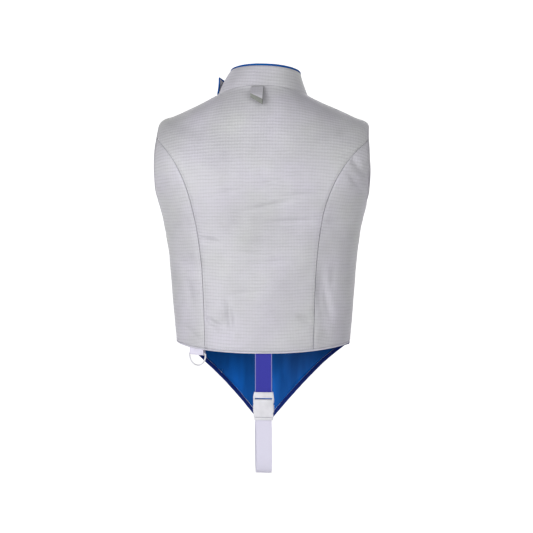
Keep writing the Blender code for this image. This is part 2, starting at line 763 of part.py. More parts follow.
def block(size, centre, bevel=0.0):
    """A box as a bmesh, its edges rounded where a bevel is given."""
    shape = bmesh.new()
    bmesh.ops.create_cube(shape, size=1)
    bmesh.ops.scale(shape, verts=shape.verts, vec=size)
    if bevel:
        bmesh.ops.bevel(shape, geom=shape.edges[:], offset=bevel, segments=1, profile=0.5, affect="EDGES")
    bmesh.ops.translate(shape, verts=shape.verts, vec=centre)
    return shape


def rod(radius, length, centre, sides=8):
    """A round bar along X as a bmesh."""
    shape = bmesh.new()
    bmesh.ops.create_cone(
        shape, cap_ends=True, segments=sides, radius1=radius, radius2=radius, depth=length
    )
    bmesh.ops.rotate(shape, verts=shape.verts, matrix=Matrix.Rotation(math.radians(90), 3, "Y"))
    bmesh.ops.translate(shape, verts=shape.verts, vec=centre)
    return shape


def joined(name, shapes, frame, finish, origin=Vector()):
    """One body from overlapping shapes, joined by Boolean unions and set in a frame."""
    made = []
    for count, shape in enumerate(shapes):
        bmesh.ops.transform(shape, matrix=frame, verts=shape.verts)
        label = name if count == 0 else f"{name}_join_{count}"
        made.append(add_object(label, shape, finish, origin))
    for helper in made[1:]:
        union = made[0].modifiers.new(helper.name, "BOOLEAN")
        union.operation = "UNION"
        union.object = helper
        helper.hide_render = True
        helper.display_type = "WIRE"
    return made[0]


def make_slider(frame):
    """The slider with two lugs and a pin, and the pull tab hanging from the pin."""
    width, _, height = SLIDER_SIZE
    rounding = 0.0005
    parts = [block(SLIDER_SIZE, (0, 0, height / 2), rounding)]
    rise = PIN_HEIGHT - height + 2 * PIN_RADIUS + 2 * rounding
    for side in (-1, 1):
        centre = (side * (width - LUG_WIDTH) / 2, PIN_DOWN, (height + PIN_HEIGHT) / 2)
        parts.append(block((LUG_WIDTH - LUG_ROOM, LUG_LENGTH, rise), centre))
    parts.append(rod(PIN_RADIUS, width - LUG_WIDTH, (0, PIN_DOWN, PIN_HEIGHT)))
    joined("zip_slider", parts, frame, NICKEL)
    wide, long, thick = PULL_SIZE
    bend = PIN_RADIUS + PIN_ROOM + thick / 2
    route = [(PIN_DOWN + long * share, PIN_HEIGHT + bend) for share in PULL_SHARES]
    for step in range(PULL_HOOK_STEPS + 1):
        angle = PULL_HOOK * step / PULL_HOOK_STEPS
        route.append((PIN_DOWN - bend * math.sin(angle), PIN_HEIGHT + bend * math.cos(angle)))
    pin = frame @ Vector((0, PIN_DOWN, PIN_HEIGHT))
    return folded_strip("zip_pull", route, frame, wide, thick, 1, NICKEL, origin=pin)


def folded_strip(name, route, frame, width, thickness, columns, finish, slant=0.0, origin=Vector()):
    """A strip whose middle line follows a route of (down, out) steps in a frame's plane."""
    steps = [Vector((down, out)) for down, out in route]

    def place(across, down, depth):
        here = round(down * (len(steps) - 1))
        tangent = steps[min(here + 1, len(steps) - 1)] - steps[max(here - 1, 0)]
        tangent.normalize()
        point = steps[here] + Vector((tangent.y, -tangent.x)) * (0.5 - depth) * thickness
        slanting = smooth_step((steps[here].x - TAB_SLANT_START) / TAB_SLANT_SPAN)
        long = 1 + slant * (across - 0.5) * 2 * slanting
        return frame @ Vector(((across - 0.5) * width, point.x * long, point.y))
    return slab(name, columns, len(steps) - 1, place, finish, origin)


def make_nape_tab():
    """A folded loop of the metallic cloth, sewn under the collar at the nape."""
    first, middle, last = TAB_LEVELS
    turn = solve(lambda part: torso_point(part, middle).x - TAB_X, -SIDE_SEAM / 4, SIDE_SEAM / 2)
    top = torso(turn, first)
    out = torso_normal(turn, middle)
    down = torso(turn, last) - top
    down = (down - out * down.dot(out)).normalized()
    frame = Matrix((out.cross(down), down, out)).transposed().to_4x4()
    frame.translation = top
    return folded_strip("nape_tab", TAB_ROUTE, frame, TAB_WIDTH, TAB_PLY, 3, LAME, TAB_SLANT)


def strap_frame(x, y, z):
    """Axes of a strap on the back: across it, down, and out behind the wearer."""
    frame = Matrix(((-1, 0, 0), (0, 0, 1), (0, -1, 0))).to_4x4()
    frame.translation = (x, y, z)
    return frame


def make_band():
    """The elastic band, sewn inside the back hem and folded round the buckle's bar."""
    frame = strap_frame(BAND_X, BAND_Y, BAND_TOP_Z)
    bar = BAND_TOP_Z - BUCKLE_TOP_Z + BAND_BAR_DROP
    route = [(stop, 0) for stop in BAND_STOPS] + [(bar, 0)]
    for step in range(1, FOLD_STEPS):
        angle = math.pi * step / FOLD_STEPS
        route.append((bar + BAND_FOLD * math.sin(angle), BAND_FOLD * (math.cos(angle) - 1)))
    route += [(bar, -2 * BAND_FOLD), (bar - BAND_TAIL_FREE, -2 * BAND_FOLD)]
    route.append((bar - BAND_TAIL, -BAND_THICKNESS - ROOM))
    return folded_strip("elastic_band", route, frame, BAND_WIDTH, BAND_THICKNESS, 1, ELASTIC)


def buckle_half(name, blocks, bar_length, bar_down):
    """One half of the buckle: its blocks and the round bar that a strap is folded over."""
    shapes = []
    for size, (across, down, out), rounding, sided in blocks:
        for side in (-1, 1) if sided else (1,):
            shapes.append(block(size, (side * across, down, out), rounding))
    shapes.append(rod(BUCKLE_BAR_RADIUS, bar_length, (0, bar_down, BUCKLE_MID)))
    return joined(name, shapes, strap_frame(BAND_X, BAND_Y, BUCKLE_TOP_Z), PLASTIC)


def make_buckle():
    """A side-release buckle, fastened: the plug above and the socket below."""
    buckle_half("buckle_plug", PLUG_BLOCKS, PLUG_BAR_LENGTH, BAND_BAR_DROP)
    buckle_half("buckle_socket", SOCKET_BLOCKS, SOCKET_BAR_LENGTH, BUCKLE_FOOT - WEB_BAR_RISE)


def smooth_route(stops, pieces):
    """A smooth curve through stops, with a number of pieces between each two."""
    route = []
    for place in range(len(stops) - 1):
        before = stops[max(place - 1, 0)]
        start, end = stops[place], stops[place + 1]
        after = stops[min(place + 2, len(stops) - 1)]
        for step in range(pieces):
            part = step / pieces
            leave, arrive, rise = (end - before) / 2, (after - start) / 2, end - start
            bend = 3 * rise - 2 * leave - arrive + part * (leave + arrive - 2 * rise)
            route.append(start + part * (leave + part * bend))
    return route + [stops[-1]]


def make_crotch_strap():
    """White webbing from the buckle, down and under to the inside of the flap's tip."""
    foot = Vector((BAND_X, BAND_Y + BUCKLE_MID, BUCKLE_TOP_Z - BUCKLE_FOOT))
    turn = math.radians(180) - WEB_END_TURN
    sewn = WALL + ROOM + WEB_HOLLOW + WEB_THICKNESS / 2
    tip = torso(turn, FLAP_TIP, sewn)
    run = [foot + Vector(step) for step in WEB_RUN]
    run += [tip + Vector(WEB_NEAR_TIP), tip + Vector(WEB_AT_TIP), torso(turn, FLAP_TIP - 0.5, sewn)]
    tail = [foot + Vector(step) for step in WEB_TAIL]
    hook = hook_round(foot.y, foot.z + WEB_BAR_RISE, WEB_FOLD)
    route = tail + hook + smooth_route(run, WEB_PIECES)

    def place(across, down, depth):
        here = round(down * (len(route) - 1))
        tangent = route[min(here + 1, len(route) - 1)] - route[max(here - 1, 0)]
        tangent.x = 0
        tangent.normalize()
        normal = Vector((0, -tangent.z, tangent.y))
        side = Vector((across - 0.5, 0, 0)) * WEB_WIDTH
        return route[here] + side + normal * (0.5 - depth) * WEB_THICKNESS
    return slab("crotch_strap", 1, len(route) - 1, place, PALE)


def hook_round(bar_y, bar_z, radius):
    """The webbing's turn over a bar, from the wearer's side to the outside."""
    turnings = [math.pi * (1 - step / FOLD_STEPS) for step in range(FOLD_STEPS + 1)]
    return [
        Vector((BAND_X, bar_y + radius * math.cos(angle), bar_z + radius * math.sin(angle)))
        for angle in turnings
    ]


def ring_frame():
    """Axes of the D-ring's tape: along the hem, down, and inwards under the cloth."""
    turn = solve(lambda part: torso_point(part, HEM).x - RING_X, math.radians(10), SIDE_SEAM)
    place = torso_point(turn, HEM)
    out = torso_normal(turn, HEM)
    out.z = 0
    out.normalize()
    down = Vector((0, 0, -1))
    frame = Matrix((down.cross(-out), down, -out)).transposed().to_4x4()
    frame.translation = place + down * HEM_FINISH
    return frame


def make_ring_tape():
    """White tape folded round the D-ring's straight bar and sewn inside the hem."""
    ply = RING_AXIS_DEPTH - RING_WIRE - RING_ROOM - RING_TAPE_PLY / 2
    fold = RING_AXIS_DEPTH - ply
    route = [(RING_TAPE_TOP, ply), (RING_TAPE_TOP / 2, ply), (0, ply), (RING_AXIS_DROP, ply)]
    for step in range(1, FOLD_STEPS):
        angle = math.pi * step / FOLD_STEPS
        across = fold * math.sin(angle)
        route.append((RING_AXIS_DROP + across, RING_AXIS_DEPTH - fold * math.cos(angle)))
    back = RING_AXIS_DEPTH + fold
    inner = ply + RING_TAPE_PLY + RING_ROOM
    route += [(RING_AXIS_DROP, back), (0.0015, back - RING_TAPE_PLY), (-0.0030, inner + RING_TAPE_PLY * 1.4)]
    route += [(-0.0065, inner), (RING_TAPE_TOP, inner)]
    return folded_strip("ring_tape", route, ring_frame(), RING_TAPE_WIDTH, RING_TAPE_PLY, 1, PALE)


def make_d_ring():
    """The D-ring: a straight bar in the tape and a half round below it."""
    frame = ring_frame()
    axis = frame @ Vector((0, RING_AXIS_DROP, RING_AXIS_DEPTH))
    curve = bpy.data.curves.new("d_ring", "CURVE")
    curve.dimensions = "3D"
    curve.bevel_depth = RING_WIRE
    curve.bevel_resolution = 2
    spline = curve.splines.new("POLY")
    straight = RING_HALF_WIDTH - RING_CORNER
    stops = [(-RING_HALF_WIDTH / 2, 0), (RING_HALF_WIDTH / 2, 0), (straight, 0), (RING_HALF_WIDTH, RING_KNEE)]
    for step in range(RING_STEPS + 1):
        angle = math.pi * step / RING_STEPS
        down = RING_SHOULDER + RING_HALF_WIDTH * math.sin(angle)
        stops.append((RING_HALF_WIDTH * math.cos(angle), down))
    stops += [(-RING_HALF_WIDTH, RING_KNEE), (-straight, 0)]
    spline.points.add(len(stops) - 1)
    turned = frame.to_3x3()
    for point, (across, down) in zip(spline.points, stops):
        point.co = (*(turned @ Vector((across, down, 0))), 1)
    spline.use_cyclic_u = True
    curve.materials.append(material(PLASTIC))
    ring = bpy.data.objects.new("d_ring", curve)
    ring.location = axis
    bpy.context.collection.objects.link(ring)
    return ring


def main():
    """Make every piece of the vest."""
    clear_scene()
    make_back_panel()
    make_side_back("side_back_left", 1)
    make_side_back("side_back_right", -1)
    make_front_panel()
    make_front_left_panel()
    make_collar_back()
    make_collar_front()
    make_collar_edgings()
    make_armhole_edging("armhole_edging_left", 1)
    make_armhole_edging("armhole_edging_right", -1)
    make_hem_edging()
    make_flap_edgings()
    make_nape_tab()
    make_zip()
    make_band()
    make_buckle()
    make_crotch_strap()
    make_ring_tape()
    make_d_ring()


main()
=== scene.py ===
"""Foil lame: the metallic over-vest of foil fencing, dressed for a picture of its back.

Metres, +Z up. The wearer faces -Y and the wearer's left is +X. Every cloth piece is a wall whose
points are read from the torso's surface at a turn, in radians from the middle of the back towards
the wearer's left, and at a level, which counts the rows of TORSO downwards.
"""

import math
from collections import namedtuple
from functools import lru_cache

import bmesh
import bpy
from mathutils import Matrix, Vector, noise


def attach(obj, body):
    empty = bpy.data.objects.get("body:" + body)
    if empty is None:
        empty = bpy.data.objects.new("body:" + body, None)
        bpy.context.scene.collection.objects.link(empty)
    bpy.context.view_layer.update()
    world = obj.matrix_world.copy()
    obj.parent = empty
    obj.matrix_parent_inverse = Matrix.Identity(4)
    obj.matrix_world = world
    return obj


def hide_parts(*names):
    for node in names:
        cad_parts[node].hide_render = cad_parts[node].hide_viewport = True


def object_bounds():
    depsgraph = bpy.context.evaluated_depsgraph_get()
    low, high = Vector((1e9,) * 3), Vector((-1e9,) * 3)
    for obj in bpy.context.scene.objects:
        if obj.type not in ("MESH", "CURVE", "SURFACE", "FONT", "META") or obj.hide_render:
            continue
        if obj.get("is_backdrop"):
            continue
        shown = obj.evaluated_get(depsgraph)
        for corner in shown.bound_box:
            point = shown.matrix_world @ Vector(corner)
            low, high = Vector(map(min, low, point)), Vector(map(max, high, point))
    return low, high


bl_info = {
    "name": "Foil lame",
    "version": (1, 0, 0),
    "blender": (4, 5, 0),
    "location": "3D View > Sidebar > Foil lame",
    "description": "Makes the cloth, trim, zip, strap and stage of a foil fencing over-vest",
    "category": "Object",
}

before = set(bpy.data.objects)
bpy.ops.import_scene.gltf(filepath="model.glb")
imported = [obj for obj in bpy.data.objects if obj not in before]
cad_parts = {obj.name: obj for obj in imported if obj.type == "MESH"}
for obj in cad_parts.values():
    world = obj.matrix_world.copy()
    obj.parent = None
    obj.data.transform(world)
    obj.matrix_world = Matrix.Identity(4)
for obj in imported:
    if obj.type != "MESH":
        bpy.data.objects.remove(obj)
START_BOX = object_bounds()
GARMENT = "garment"

# Cloth
WALL = 0.002
SEAM_GAP = 0.0003
ROOM = 0.0006

# Levels of the torso's sections
NECK = 0
SHOULDER_TIP = 4
UNDERARM = 8
HEM = 12
FLAP_TIP = 15

Section = namedtuple("Section", "half_width back front z_back z_side z_front square")
TORSO = (
    Section(0.0830, 0.068, 0.072, 0.013, 0.000, -0.045, 2.1),
    Section(0.1100, 0.084, 0.088, -0.018, -0.0125, -0.070, 2.2),
    Section(0.1390, 0.097, 0.104, -0.050, -0.0253, -0.095, 2.2),
    Section(0.1680, 0.1055, 0.115, -0.084, -0.0383, -0.120, 2.3),
    Section(0.1900, 0.1110, 0.122, -0.112, -0.0482, -0.144, 2.5),
    Section(0.2072, 0.1140, 0.1255, -0.136, -0.082, -0.162, 2.75),
    Section(0.2085, 0.1150, 0.1265, -0.160, -0.122, -0.180, 2.9),
    Section(0.2010, 0.1145, 0.125, -0.185, -0.168, -0.200, 2.8),
    Section(0.1905, 0.1125, 0.121, -0.212, -0.200, -0.220, 2.6),
    Section(0.1801, 0.1070, 0.113, -0.256, -0.250, -0.262, 2.45),
    Section(0.1717, 0.1005, 0.1065, -0.323, -0.316, -0.327, 2.35),
    Section(0.1668, 0.098, 0.107, -0.392, -0.382, -0.396, 2.3),
    Section(0.1610, 0.100, 0.110, -0.4607, -0.4485, -0.465, 2.25),
    Section(0.1555, 0.099, 0.107, -0.512, -0.500, -0.514, 2.2),
    Section(0.1500, 0.096, 0.099, -0.562, -0.555, -0.562, 2.2),
    Section(0.1460, 0.092, 0.088, -0.606, -0.604, -0.606, 2.2),
)
SHOULDER_TILT = 0.0030
SHOULDER_SHIFT = -0.0026

# Folds and creases: on the back (1) or front (-1), place, half length, half width, depth and lean
Fold = namedtuple("Fold", "side x z length width depth lean")
FOLDS = (
    Fold(1, -0.116, -0.380, 0.062, 0.011, 0.0030, 4),
    Fold(1, -0.148, -0.226, 0.040, 0.010, 0.0018, 82),
    Fold(1, 0.062, -0.412, 0.030, 0.010, 0.0020, -12),
    Fold(1, 0.140, -0.300, 0.045, 0.012, 0.0018, 70),
    Fold(1, -0.030, -0.276, 0.060, 0.012, 0.0014, 80),
    Fold(-1, -0.080, -0.300, 0.060, 0.012, 0.0022, 76),
    Fold(-1, 0.030, -0.345, 0.055, 0.012, 0.0020, -80),
    Fold(-1, -0.110, -0.230, 0.045, 0.012, 0.0020, 40),
    Fold(-1, 0.010, -0.430, 0.070, 0.014, 0.0022, 8),
)
CREASES = (
    Fold(1, -0.172, -0.128, 0.020, 0.0044, 0.0033, 44),
    Fold(1, -0.182, -0.142, 0.018, 0.0042, 0.0033, 78),
    Fold(1, -0.170, -0.158, 0.018, 0.0048, 0.0024, 40),
    Fold(1, -0.026, -0.1605, 0.028, 0.0042, 0.0019, 101),
    Fold(1, -0.069, -0.1836, 0.034, 0.0044, 0.0022, 92),
    Fold(1, -0.026, -0.2002, 0.034, 0.0044, 0.0026, 102),
    Fold(1, 0.053, -0.1774, 0.024, 0.0042, 0.0014, 102),
    Fold(1, -0.065, -0.2287, 0.034, 0.0042, 0.0029, 92),
    Fold(1, -0.132, -0.2308, 0.014, 0.0042, 0.0027, 88),
    Fold(1, -0.114, -0.2440, 0.011, 0.0042, 0.0024, 20),
    Fold(1, 0.084, -0.2636, 0.016, 0.0046, 0.0032, 78),
    Fold(1, -0.030, -0.3006, 0.034, 0.0042, 0.0014, 94),
    Fold(1, 0.012, -0.2870, 0.030, 0.0042, 0.0012, 84),
    Fold(1, -0.120, -0.3638, 0.036, 0.0052, 0.0036, 11),
    Fold(1, -0.106, -0.3499, 0.028, 0.0042, 0.0029, 3),
    Fold(1, -0.131, -0.3300, 0.022, 0.0050, 0.0019, -6),
    Fold(1, -0.086, -0.4047, 0.016, 0.0046, 0.0036, 71),
    Fold(1, 0.083, -0.4102, 0.020, 0.0046, 0.0036, 62),
    Fold(1, 0.051, -0.4010, 0.024, 0.0056, 0.0036, 6),
    Fold(1, 0.126, -0.4271, 0.016, 0.0042, 0.0021, 53),
    Fold(1, 0.022, -0.3560, 0.030, 0.0042, 0.0014, 97),
    Fold(1, 0.184, -0.1300, 0.012, 0.0042, 0.0018, 70),
    Fold(1, 0.182, -0.1430, 0.010, 0.0042, 0.0018, 95),
    Fold(1, 0.150, -0.240, 0.030, 0.0060, 0.0014, -72),
    Fold(1, 0.128, -0.352, 0.034, 0.0070, 0.0014, 12),
    Fold(-1, 0.150, -0.215, 0.032, 0.0060, 0.0014, -62),
    Fold(-1, -0.160, -0.205, 0.034, 0.0060, 0.0014, 64),
    Fold(-1, -0.120, -0.372, 0.040, 0.0060, 0.0012, -8),
    Fold(-1, 0.052, -0.300, 0.050, 0.0060, 0.0010, 78),
    Fold(-1, -0.020, -0.250, 0.060, 0.0070, 0.0010, 84),
    Fold(-1, 0.030, -0.470, 0.050, 0.0070, 0.0012, 14),
)

# Armhole: an oval seen from the side
ARMHOLE_Y = -0.002
ARMHOLE_Z = (TORSO[SHOULDER_TIP].z_side + TORSO[UNDERARM].z_side) / 2
ARMHOLE_REACH = 0.068
ARMHOLE_HEIGHT = (TORSO[SHOULDER_TIP].z_side - TORSO[UNDERARM].z_side) / 2
ARMHOLE_STEPS = 52

# Seams
SHOULDER_SEAM_Y = -0.012
SIDE_SEAM = math.radians(90)
SEAM_X = 0.097
SEAM_SPREAD = 0.099
SEAM_TOP_Z = -0.078
SEAM_FALL = 0.083
SEAM_POINT = 0.0020
FLAP_POINT = 0.0010
BACK_SEAM_GAP = 0.0006
FLAP_SIDE_X = 0.1590
FLAP_TIP_X = 0.0117
FLAP_HOLLOW = 0.0045
FLAP_SHIFT = 0.0047
FLAP_SHIFT_RISE = 3
FLAP_START = 0.03
FLAP_STEP = 0.075
SHOULDER_STEPS = 44
BODY_STEPS = 92
PANEL_COLUMNS = {"back": 84, "side_back": 34, "front": 92, "front_left": 36}

# How strongly each panel rolls in at its first, last, top and bottom edge
PANEL_DIPS = {
    "back": (0.5, 0.5, -0.35, 1), "side_back": (0.5, 0.8, 0.8, 1),
    "front": (0.2, 1, 1, 0.6), "front_left": (1, 0.2, 1, 0.6),
}

# Zip at the wearer's left front
ZIP_X = 0.088
ZIP_X_AT_NECK = 0.0626
ZIP_DRIFT = 1.5
ZIP_SLOT = 0.0080
ZIP_TAPE_WIDTH = 0.030
ZIP_TAPE_THICKNESS = 0.0009
ZIP_CHAIN_THICKNESS = 0.0020
ZIP_END = 11.8
ZIP_CLOSING = 0.2
ZIP_STOP = 0.01
ZIP_TAPE_COLUMNS = 10
FACING_WIDTH = 0.022
FACING_SHORT = 0.12
FACING_OVERLAP = 0.12
FACING_COLUMNS = 8
TOOTH_SIZE = (0.0030, 0.0011, 0.0018)
TOOTH_PITCH = 0.0022
TOOTH_OFFSET = 0.0012
TOOTH_BEVEL = 0.0002

# Collar
COLLAR_WALL = 0.0020
COLLAR_HALF_WIDTH = 0.0645
COLLAR_BACK = 0.060
COLLAR_FRONT = 0.062
COLLAR_TOP_BACK = 0.0494
COLLAR_TOP_SIDE = 0.0429
COLLAR_TOP_FRONT = -0.003
COLLAR_TOP_BEND = 1.3
COLLAR_NARROWING = 1.15
COLLAR_LEAN = 0.005
COLLAR_TILT = 0.0021
COLLAR_FOOT_ROLL = -0.35
COLLAR_TOP_ROLL = 0.6
COLLAR_MARGIN = 0.008
COLLAR_ROWS = 16
COLLAR_BACK_STEPS = 150
COLLAR_FRONT_STEPS = 140
COLLAR_OPENING = math.radians(130)
COLLAR_JOIN = math.radians(265)
TAB_END = math.radians(88)
TAB_START = math.radians(144)
TAB_RISEN = math.radians(132)
TAB_CLEAR = 0.0026
TAB_FLARE = 0.0085
TAB_FLARE_BEND = 1.5
TAB_CURL = 0.0112
TAB_CURL_START = math.radians(125)
TAB_LOW = 0.08
TAB_LOW_START = math.radians(153)
TAB_LOW_SPAN = math.radians(8)
TAB_HIGH = 0.71
TAB_HIGH_START = math.radians(140)
TAB_END_STEPS = 12

# Edgings
EDGING_WIDTH = 0.0028
EDGING_THICKNESS = 0.0027
EDGING_TAPER = 0.62
EDGING_ROUND = 0.14
EDGING_UNEVEN = 0.05
EDGING_WAVE = 0.012
EDGING_COLUMNS = 6
EDGING_CUT = 2.2
NARROWEST_CUT = 0.0101
PIPING_WIDTH = 0.0036
PIPING_THICKNESS = 0.0030
FLAP_EDGING_WIDTH = 0.0070
HEM_STEPS = 150

# Loop tab at the nape: its middle line as steps down from the seam and out from the cloth
TAB_X = 0.0038
TAB_WIDTH = 0.022
TAB_PLY = 0.0011
TAB_SLANT = 0.22
TAB_SLANT_START = 0.020
TAB_SLANT_SPAN = 0.008
TAB_LEVELS = (0.05, 0.5, 0.9)
# Span down the tab's length whose faces get a dark painted shade, standing in for the shaded underside of its
# fold
TAB_PAINTED_SHADE_SPAN = (0.032, 0.0445)
TAB_ROUTE = (
    (0.0010, 0.0009), (0.0130, 0.0016), (0.0230, 0.0024), (0.0305, 0.0034), (0.0344, 0.0048),
    (0.0356, 0.0066), (0.0342, 0.0086), (0.0310, 0.0101), (0.0268, 0.0106), (0.0215, 0.0098),
    (0.0130, 0.0070), (0.0040, 0.0038),
)

# Strap: elastic band, buckle and webbing
BAND_X = -0.0092
BAND_Y = 0.0945
BAND_WIDTH = 0.030
BAND_THICKNESS = 0.0015
SELVEDGE = 0.0013
SELVEDGE_THINNING = 0.35
BAND_TOP_Z = -0.424
BAND_FOLD = 0.0024
BAND_STOPS = (0, 0.02, 0.045, 0.07, 0.09)
BAND_TAIL = 0.030
BAND_TAIL_FREE = 0.008
BUCKLE_TOP_Z = -0.5329
BUCKLE_MID = -0.0024
BUCKLE_FOOT = 0.0507
BUCKLE_BAR_RADIUS = 0.0014
BAND_BAR_DROP = 0.0050
WEB_BAR_RISE = 0.0032
WEB_WIDTH = 0.0284
WEB_THICKNESS = 0.0013
WEB_FOLD = 0.0025
WEB_HOLLOW = 0.0011
WEB_END_TURN = 0.06
WEB_PIECES = 12
WEB_COLUMNS = 16
WEB_THINNING = 0.4
FOLD_STEPS = 12
WEB_TAIL = ((0, -0.0042, -0.0148), (0, -0.0040, -0.0028))
WEB_RUN = (
    (-0.0008, 0.0012, -0.015), (-0.0010, 0.0002, -0.041), (-0.0012, -0.0010, -0.072),
    (0.001, -0.0150, -0.0962), (0.005, -0.0480, -0.0975), (0.010, -0.0960, -0.0752),
)
WEB_NEAR_TIP = (-0.002, 0.0200, -0.0180)
WEB_AT_TIP = (0, 0.0006, 0.0020)

# Blocks of the fastened buckle: across, down from its top, and out; a sided block stands on both sides
Block = namedtuple("Block", "size centre rounding sided")
PLUG_BLOCKS = (
    Block((0.0370, 0.0104, 0.0018), (0, 0.0052, 0.0024), 0.0005, False),
    Block((0.0026, 0.0148, 0.0086), (0.0171, 0.0076, BUCKLE_MID), 0.0004, True),
    Block((0.0052, 0.0056, 0.0060), (0.0155, 0.0172, BUCKLE_MID), 0.0006, True),
    Block((0.0366, 0.0070, 0.0090), (0, 0.0166, BUCKLE_MID), 0.0008, False),
    Block((0.0330, 0.0006, 0.0004), (0, 0.0022, 0.0034), 0.00015, False),
    Block((0.0330, 0.0006, 0.0004), (0, 0.0076, 0.0034), 0.00015, False),
)
PLUG_BAR_LENGTH = 0.035
SOCKET_BLOCKS = (
    Block((0.0340, 0.0200, 0.0094), (0, 0.0306, BUCKLE_MID), 0.0010, False),
    Block((0.0042, 0.0140, 0.0050), (0.0163, 0.0300, BUCKLE_MID), 0.0008, True),
    Block((0.0021, 0.0130, 0.0082), (0.01595, 0.0438, BUCKLE_MID), 0.0005, True),
    Block((0.0336, 0.0049, 0.0016), (0, 0.04765, 0.0022), 0.0004, False),
    Block((0.0350, 0.0304, 0.0010), (0, 0.0294, 0.0028), 0.0004, False),
    Block((0.0009, 0.0024, 0.0046), (0.01835, 0.0245, BUCKLE_MID), 0.0003, True),
    Block((0.0009, 0.0024, 0.0046), (0.01835, 0.0281, BUCKLE_MID), 0.0003, True),
    Block((0.0009, 0.0024, 0.0046), (0.01835, 0.0317, BUCKLE_MID), 0.0003, True),
)
SOCKET_BAR_LENGTH = 0.032
BUCKLE_TAPER = 0.09
BUCKLE_TAPER_LENGTH = 0.008

# D-ring and its tape at the wearer's left back hem
RING_X = 0.1165
RING_HALF_WIDTH = 0.0184
RING_WIRE = 0.002
RING_SLIM = 0.72
RING_TAPE_WIDTH = 0.0316
RING_TAPE_PLY = 0.0010
RING_AXIS_DEPTH = 0.0070
RING_AXIS_DROP = 0.0090
RING_ROOM = 0.0004
RING_CORNER = 0.0016
RING_KNEE = 0.0012
RING_SHOULDER = 0.0036
RING_STEPS = 40
RING_TAPE_TOP = -0.018
HEM_FINISH = SEAM_GAP + EDGING_WIDTH

# How far the cloth rolls in at a seam, and how it puckers beside it
SEAM_DIP = 0.0011
SEAM_DIP_WIDTH = 0.0026
PUCKER_DEPTH = 0.0007
PUCKER_REACH = 0.013
PUCKER_LENGTH = 0.021
PUCKER_MARGIN = 0.002
CREASE_MARGIN = 0.010
RIPPLE_DEPTH = 0.0016
RIPPLE_LENGTH = 0.060

# Stitches
STITCH_LENGTH = 0.0028
STITCH_PITCH = 0.0040
STITCH_RADIUS = 0.00026
STITCH_RISE = 0.4
ROUND_TO_LONG = Matrix.Rotation(math.radians(90), 4, "Y")
TOP_STITCH_INSET = 0.0055
EDGE_STITCH_INSET = 0.0035
SEAM_STITCH_START = 0.1
ZIP_STITCH_DIP = 0.2
HEM_STITCH_RISE = 0.055
HEM_STITCH_INSET = 0.0038
HEM_STITCH_TURN = math.radians(89)

# How the metallic cloth's tone shifts, in shares of its red, green and blue
LAME_COOL = (0.99, 0.97, 1.03)
LAME_WARM = (0.97, 0.995, 0.93)

# Painted light and shade of satin folds in the lining: their slant in degrees, how they stretch, and where
# the painted shade rises inside
LINING_SLANT = 42
LINING_STRETCH = (42, 4, 9)
LINING_SHADE = (-0.535, -0.455, 0.0, 0.90)

# Camera and stage
CAMERA_PLACE = (-0.1917, 2.1916, -0.218)
CAMERA_AIM = (-0.0065, -0.0006, -0.3133)
CAMERA_LENS = 80.3
LIGHTS = (("key", (1.6, 2.5, 0.05), 1.0), ("fill", (-1.5, 2.4, 0.7), 0.46), ("front", (0.2, -2.4, 0.3), 0.4))
LIGHT_SIZE = 1.8
LIGHT_AIM = (0, 0, -0.25)
FLOOR_Z = -1.70
FLOOR_REACH = 6
FLOOR_SHIFT = 2.5
FLOOR_BEND = 1.5
FLOOR_DIM = 0.3
FLOOR_GLOW = 0.60
WORLD_LOW = 0.60
WORLD_HIGH = 0.14


class ClothSettings(bpy.types.PropertyGroup):
    """Colours and weave of the cloth."""

    lame_colour: bpy.props.FloatVectorProperty(
        name="Metallic cloth", description="Colour of the metallic cloth", subtype="COLOR",
        size=3, min=0, max=1, default=(0.62, 0.612, 0.650),
    )
    lining_colour: bpy.props.FloatVectorProperty(
        name="Lining", description="Colour of the lining that shows inside", subtype="COLOR",
        size=3, min=0, max=1, default=(0.003, 0.104, 0.440),
    )
    rib_pitch: bpy.props.FloatProperty(
        name="Rib pitch", description="Distance between the cloth's level ribs", unit="LENGTH",
        min=0.001, max=0.02, default=0.0060, precision=4,
    )
    line_pitch: bpy.props.FloatProperty(
        name="Line pitch", description="Distance between the cloth's upright lines", unit="LENGTH",
        min=0.001, max=0.02, default=0.0051, precision=4,
    )


class TrimSettings(bpy.types.PropertyGroup):
    """Colours of the edgings, strap and hard parts."""

    edging_colour: bpy.props.FloatVectorProperty(
        name="Collar edging", description="Colour of the piping on the collar", subtype="COLOR",
        size=3, min=0, max=1, default=(0.002, 0.080, 0.340),
    )
    binding_colour: bpy.props.FloatVectorProperty(
        name="Flap binding", description="Colour of the binding on the flap", subtype="COLOR",
        size=3, min=0, max=1, default=(0.004, 0.018, 0.150),
    )
    band_colour: bpy.props.FloatVectorProperty(
        name="Elastic band", description="Colour of the elastic band", subtype="COLOR",
        size=3, min=0, max=1, default=(0.010, 0.010, 0.235),
    )
    webbing_colour: bpy.props.FloatVectorProperty(
        name="Webbing", description="Colour of the webbing strap", subtype="COLOR",
        size=3, min=0, max=1, default=(0.325, 0.315, 0.41),
    )
    plastic_colour: bpy.props.FloatVectorProperty(
        name="Plastic", description="Colour of the buckle and the D-ring", subtype="COLOR",
        size=3, min=0, max=1, default=(0.70, 0.695, 0.735),
    )


class StageSettings(bpy.types.PropertyGroup):
    """The floor's colour and the strength of the lights."""

    floor_colour: bpy.props.FloatVectorProperty(
        name="Floor", description="Colour of the floor and the backdrop", subtype="COLOR",
        size=3, min=0, max=1, default=(0.86, 0.86, 0.86),
    )
    key_power: bpy.props.FloatProperty(
        name="Key light", description="Power of the large soft light", unit="POWER",
        min=0, max=500, default=51,
    )


def smooth_step(value):
    """0 below 0, 1 above 1, and a soft rise between."""
    value = min(max(value, 0), 1)
    return value * value * (3 - 2 * value)


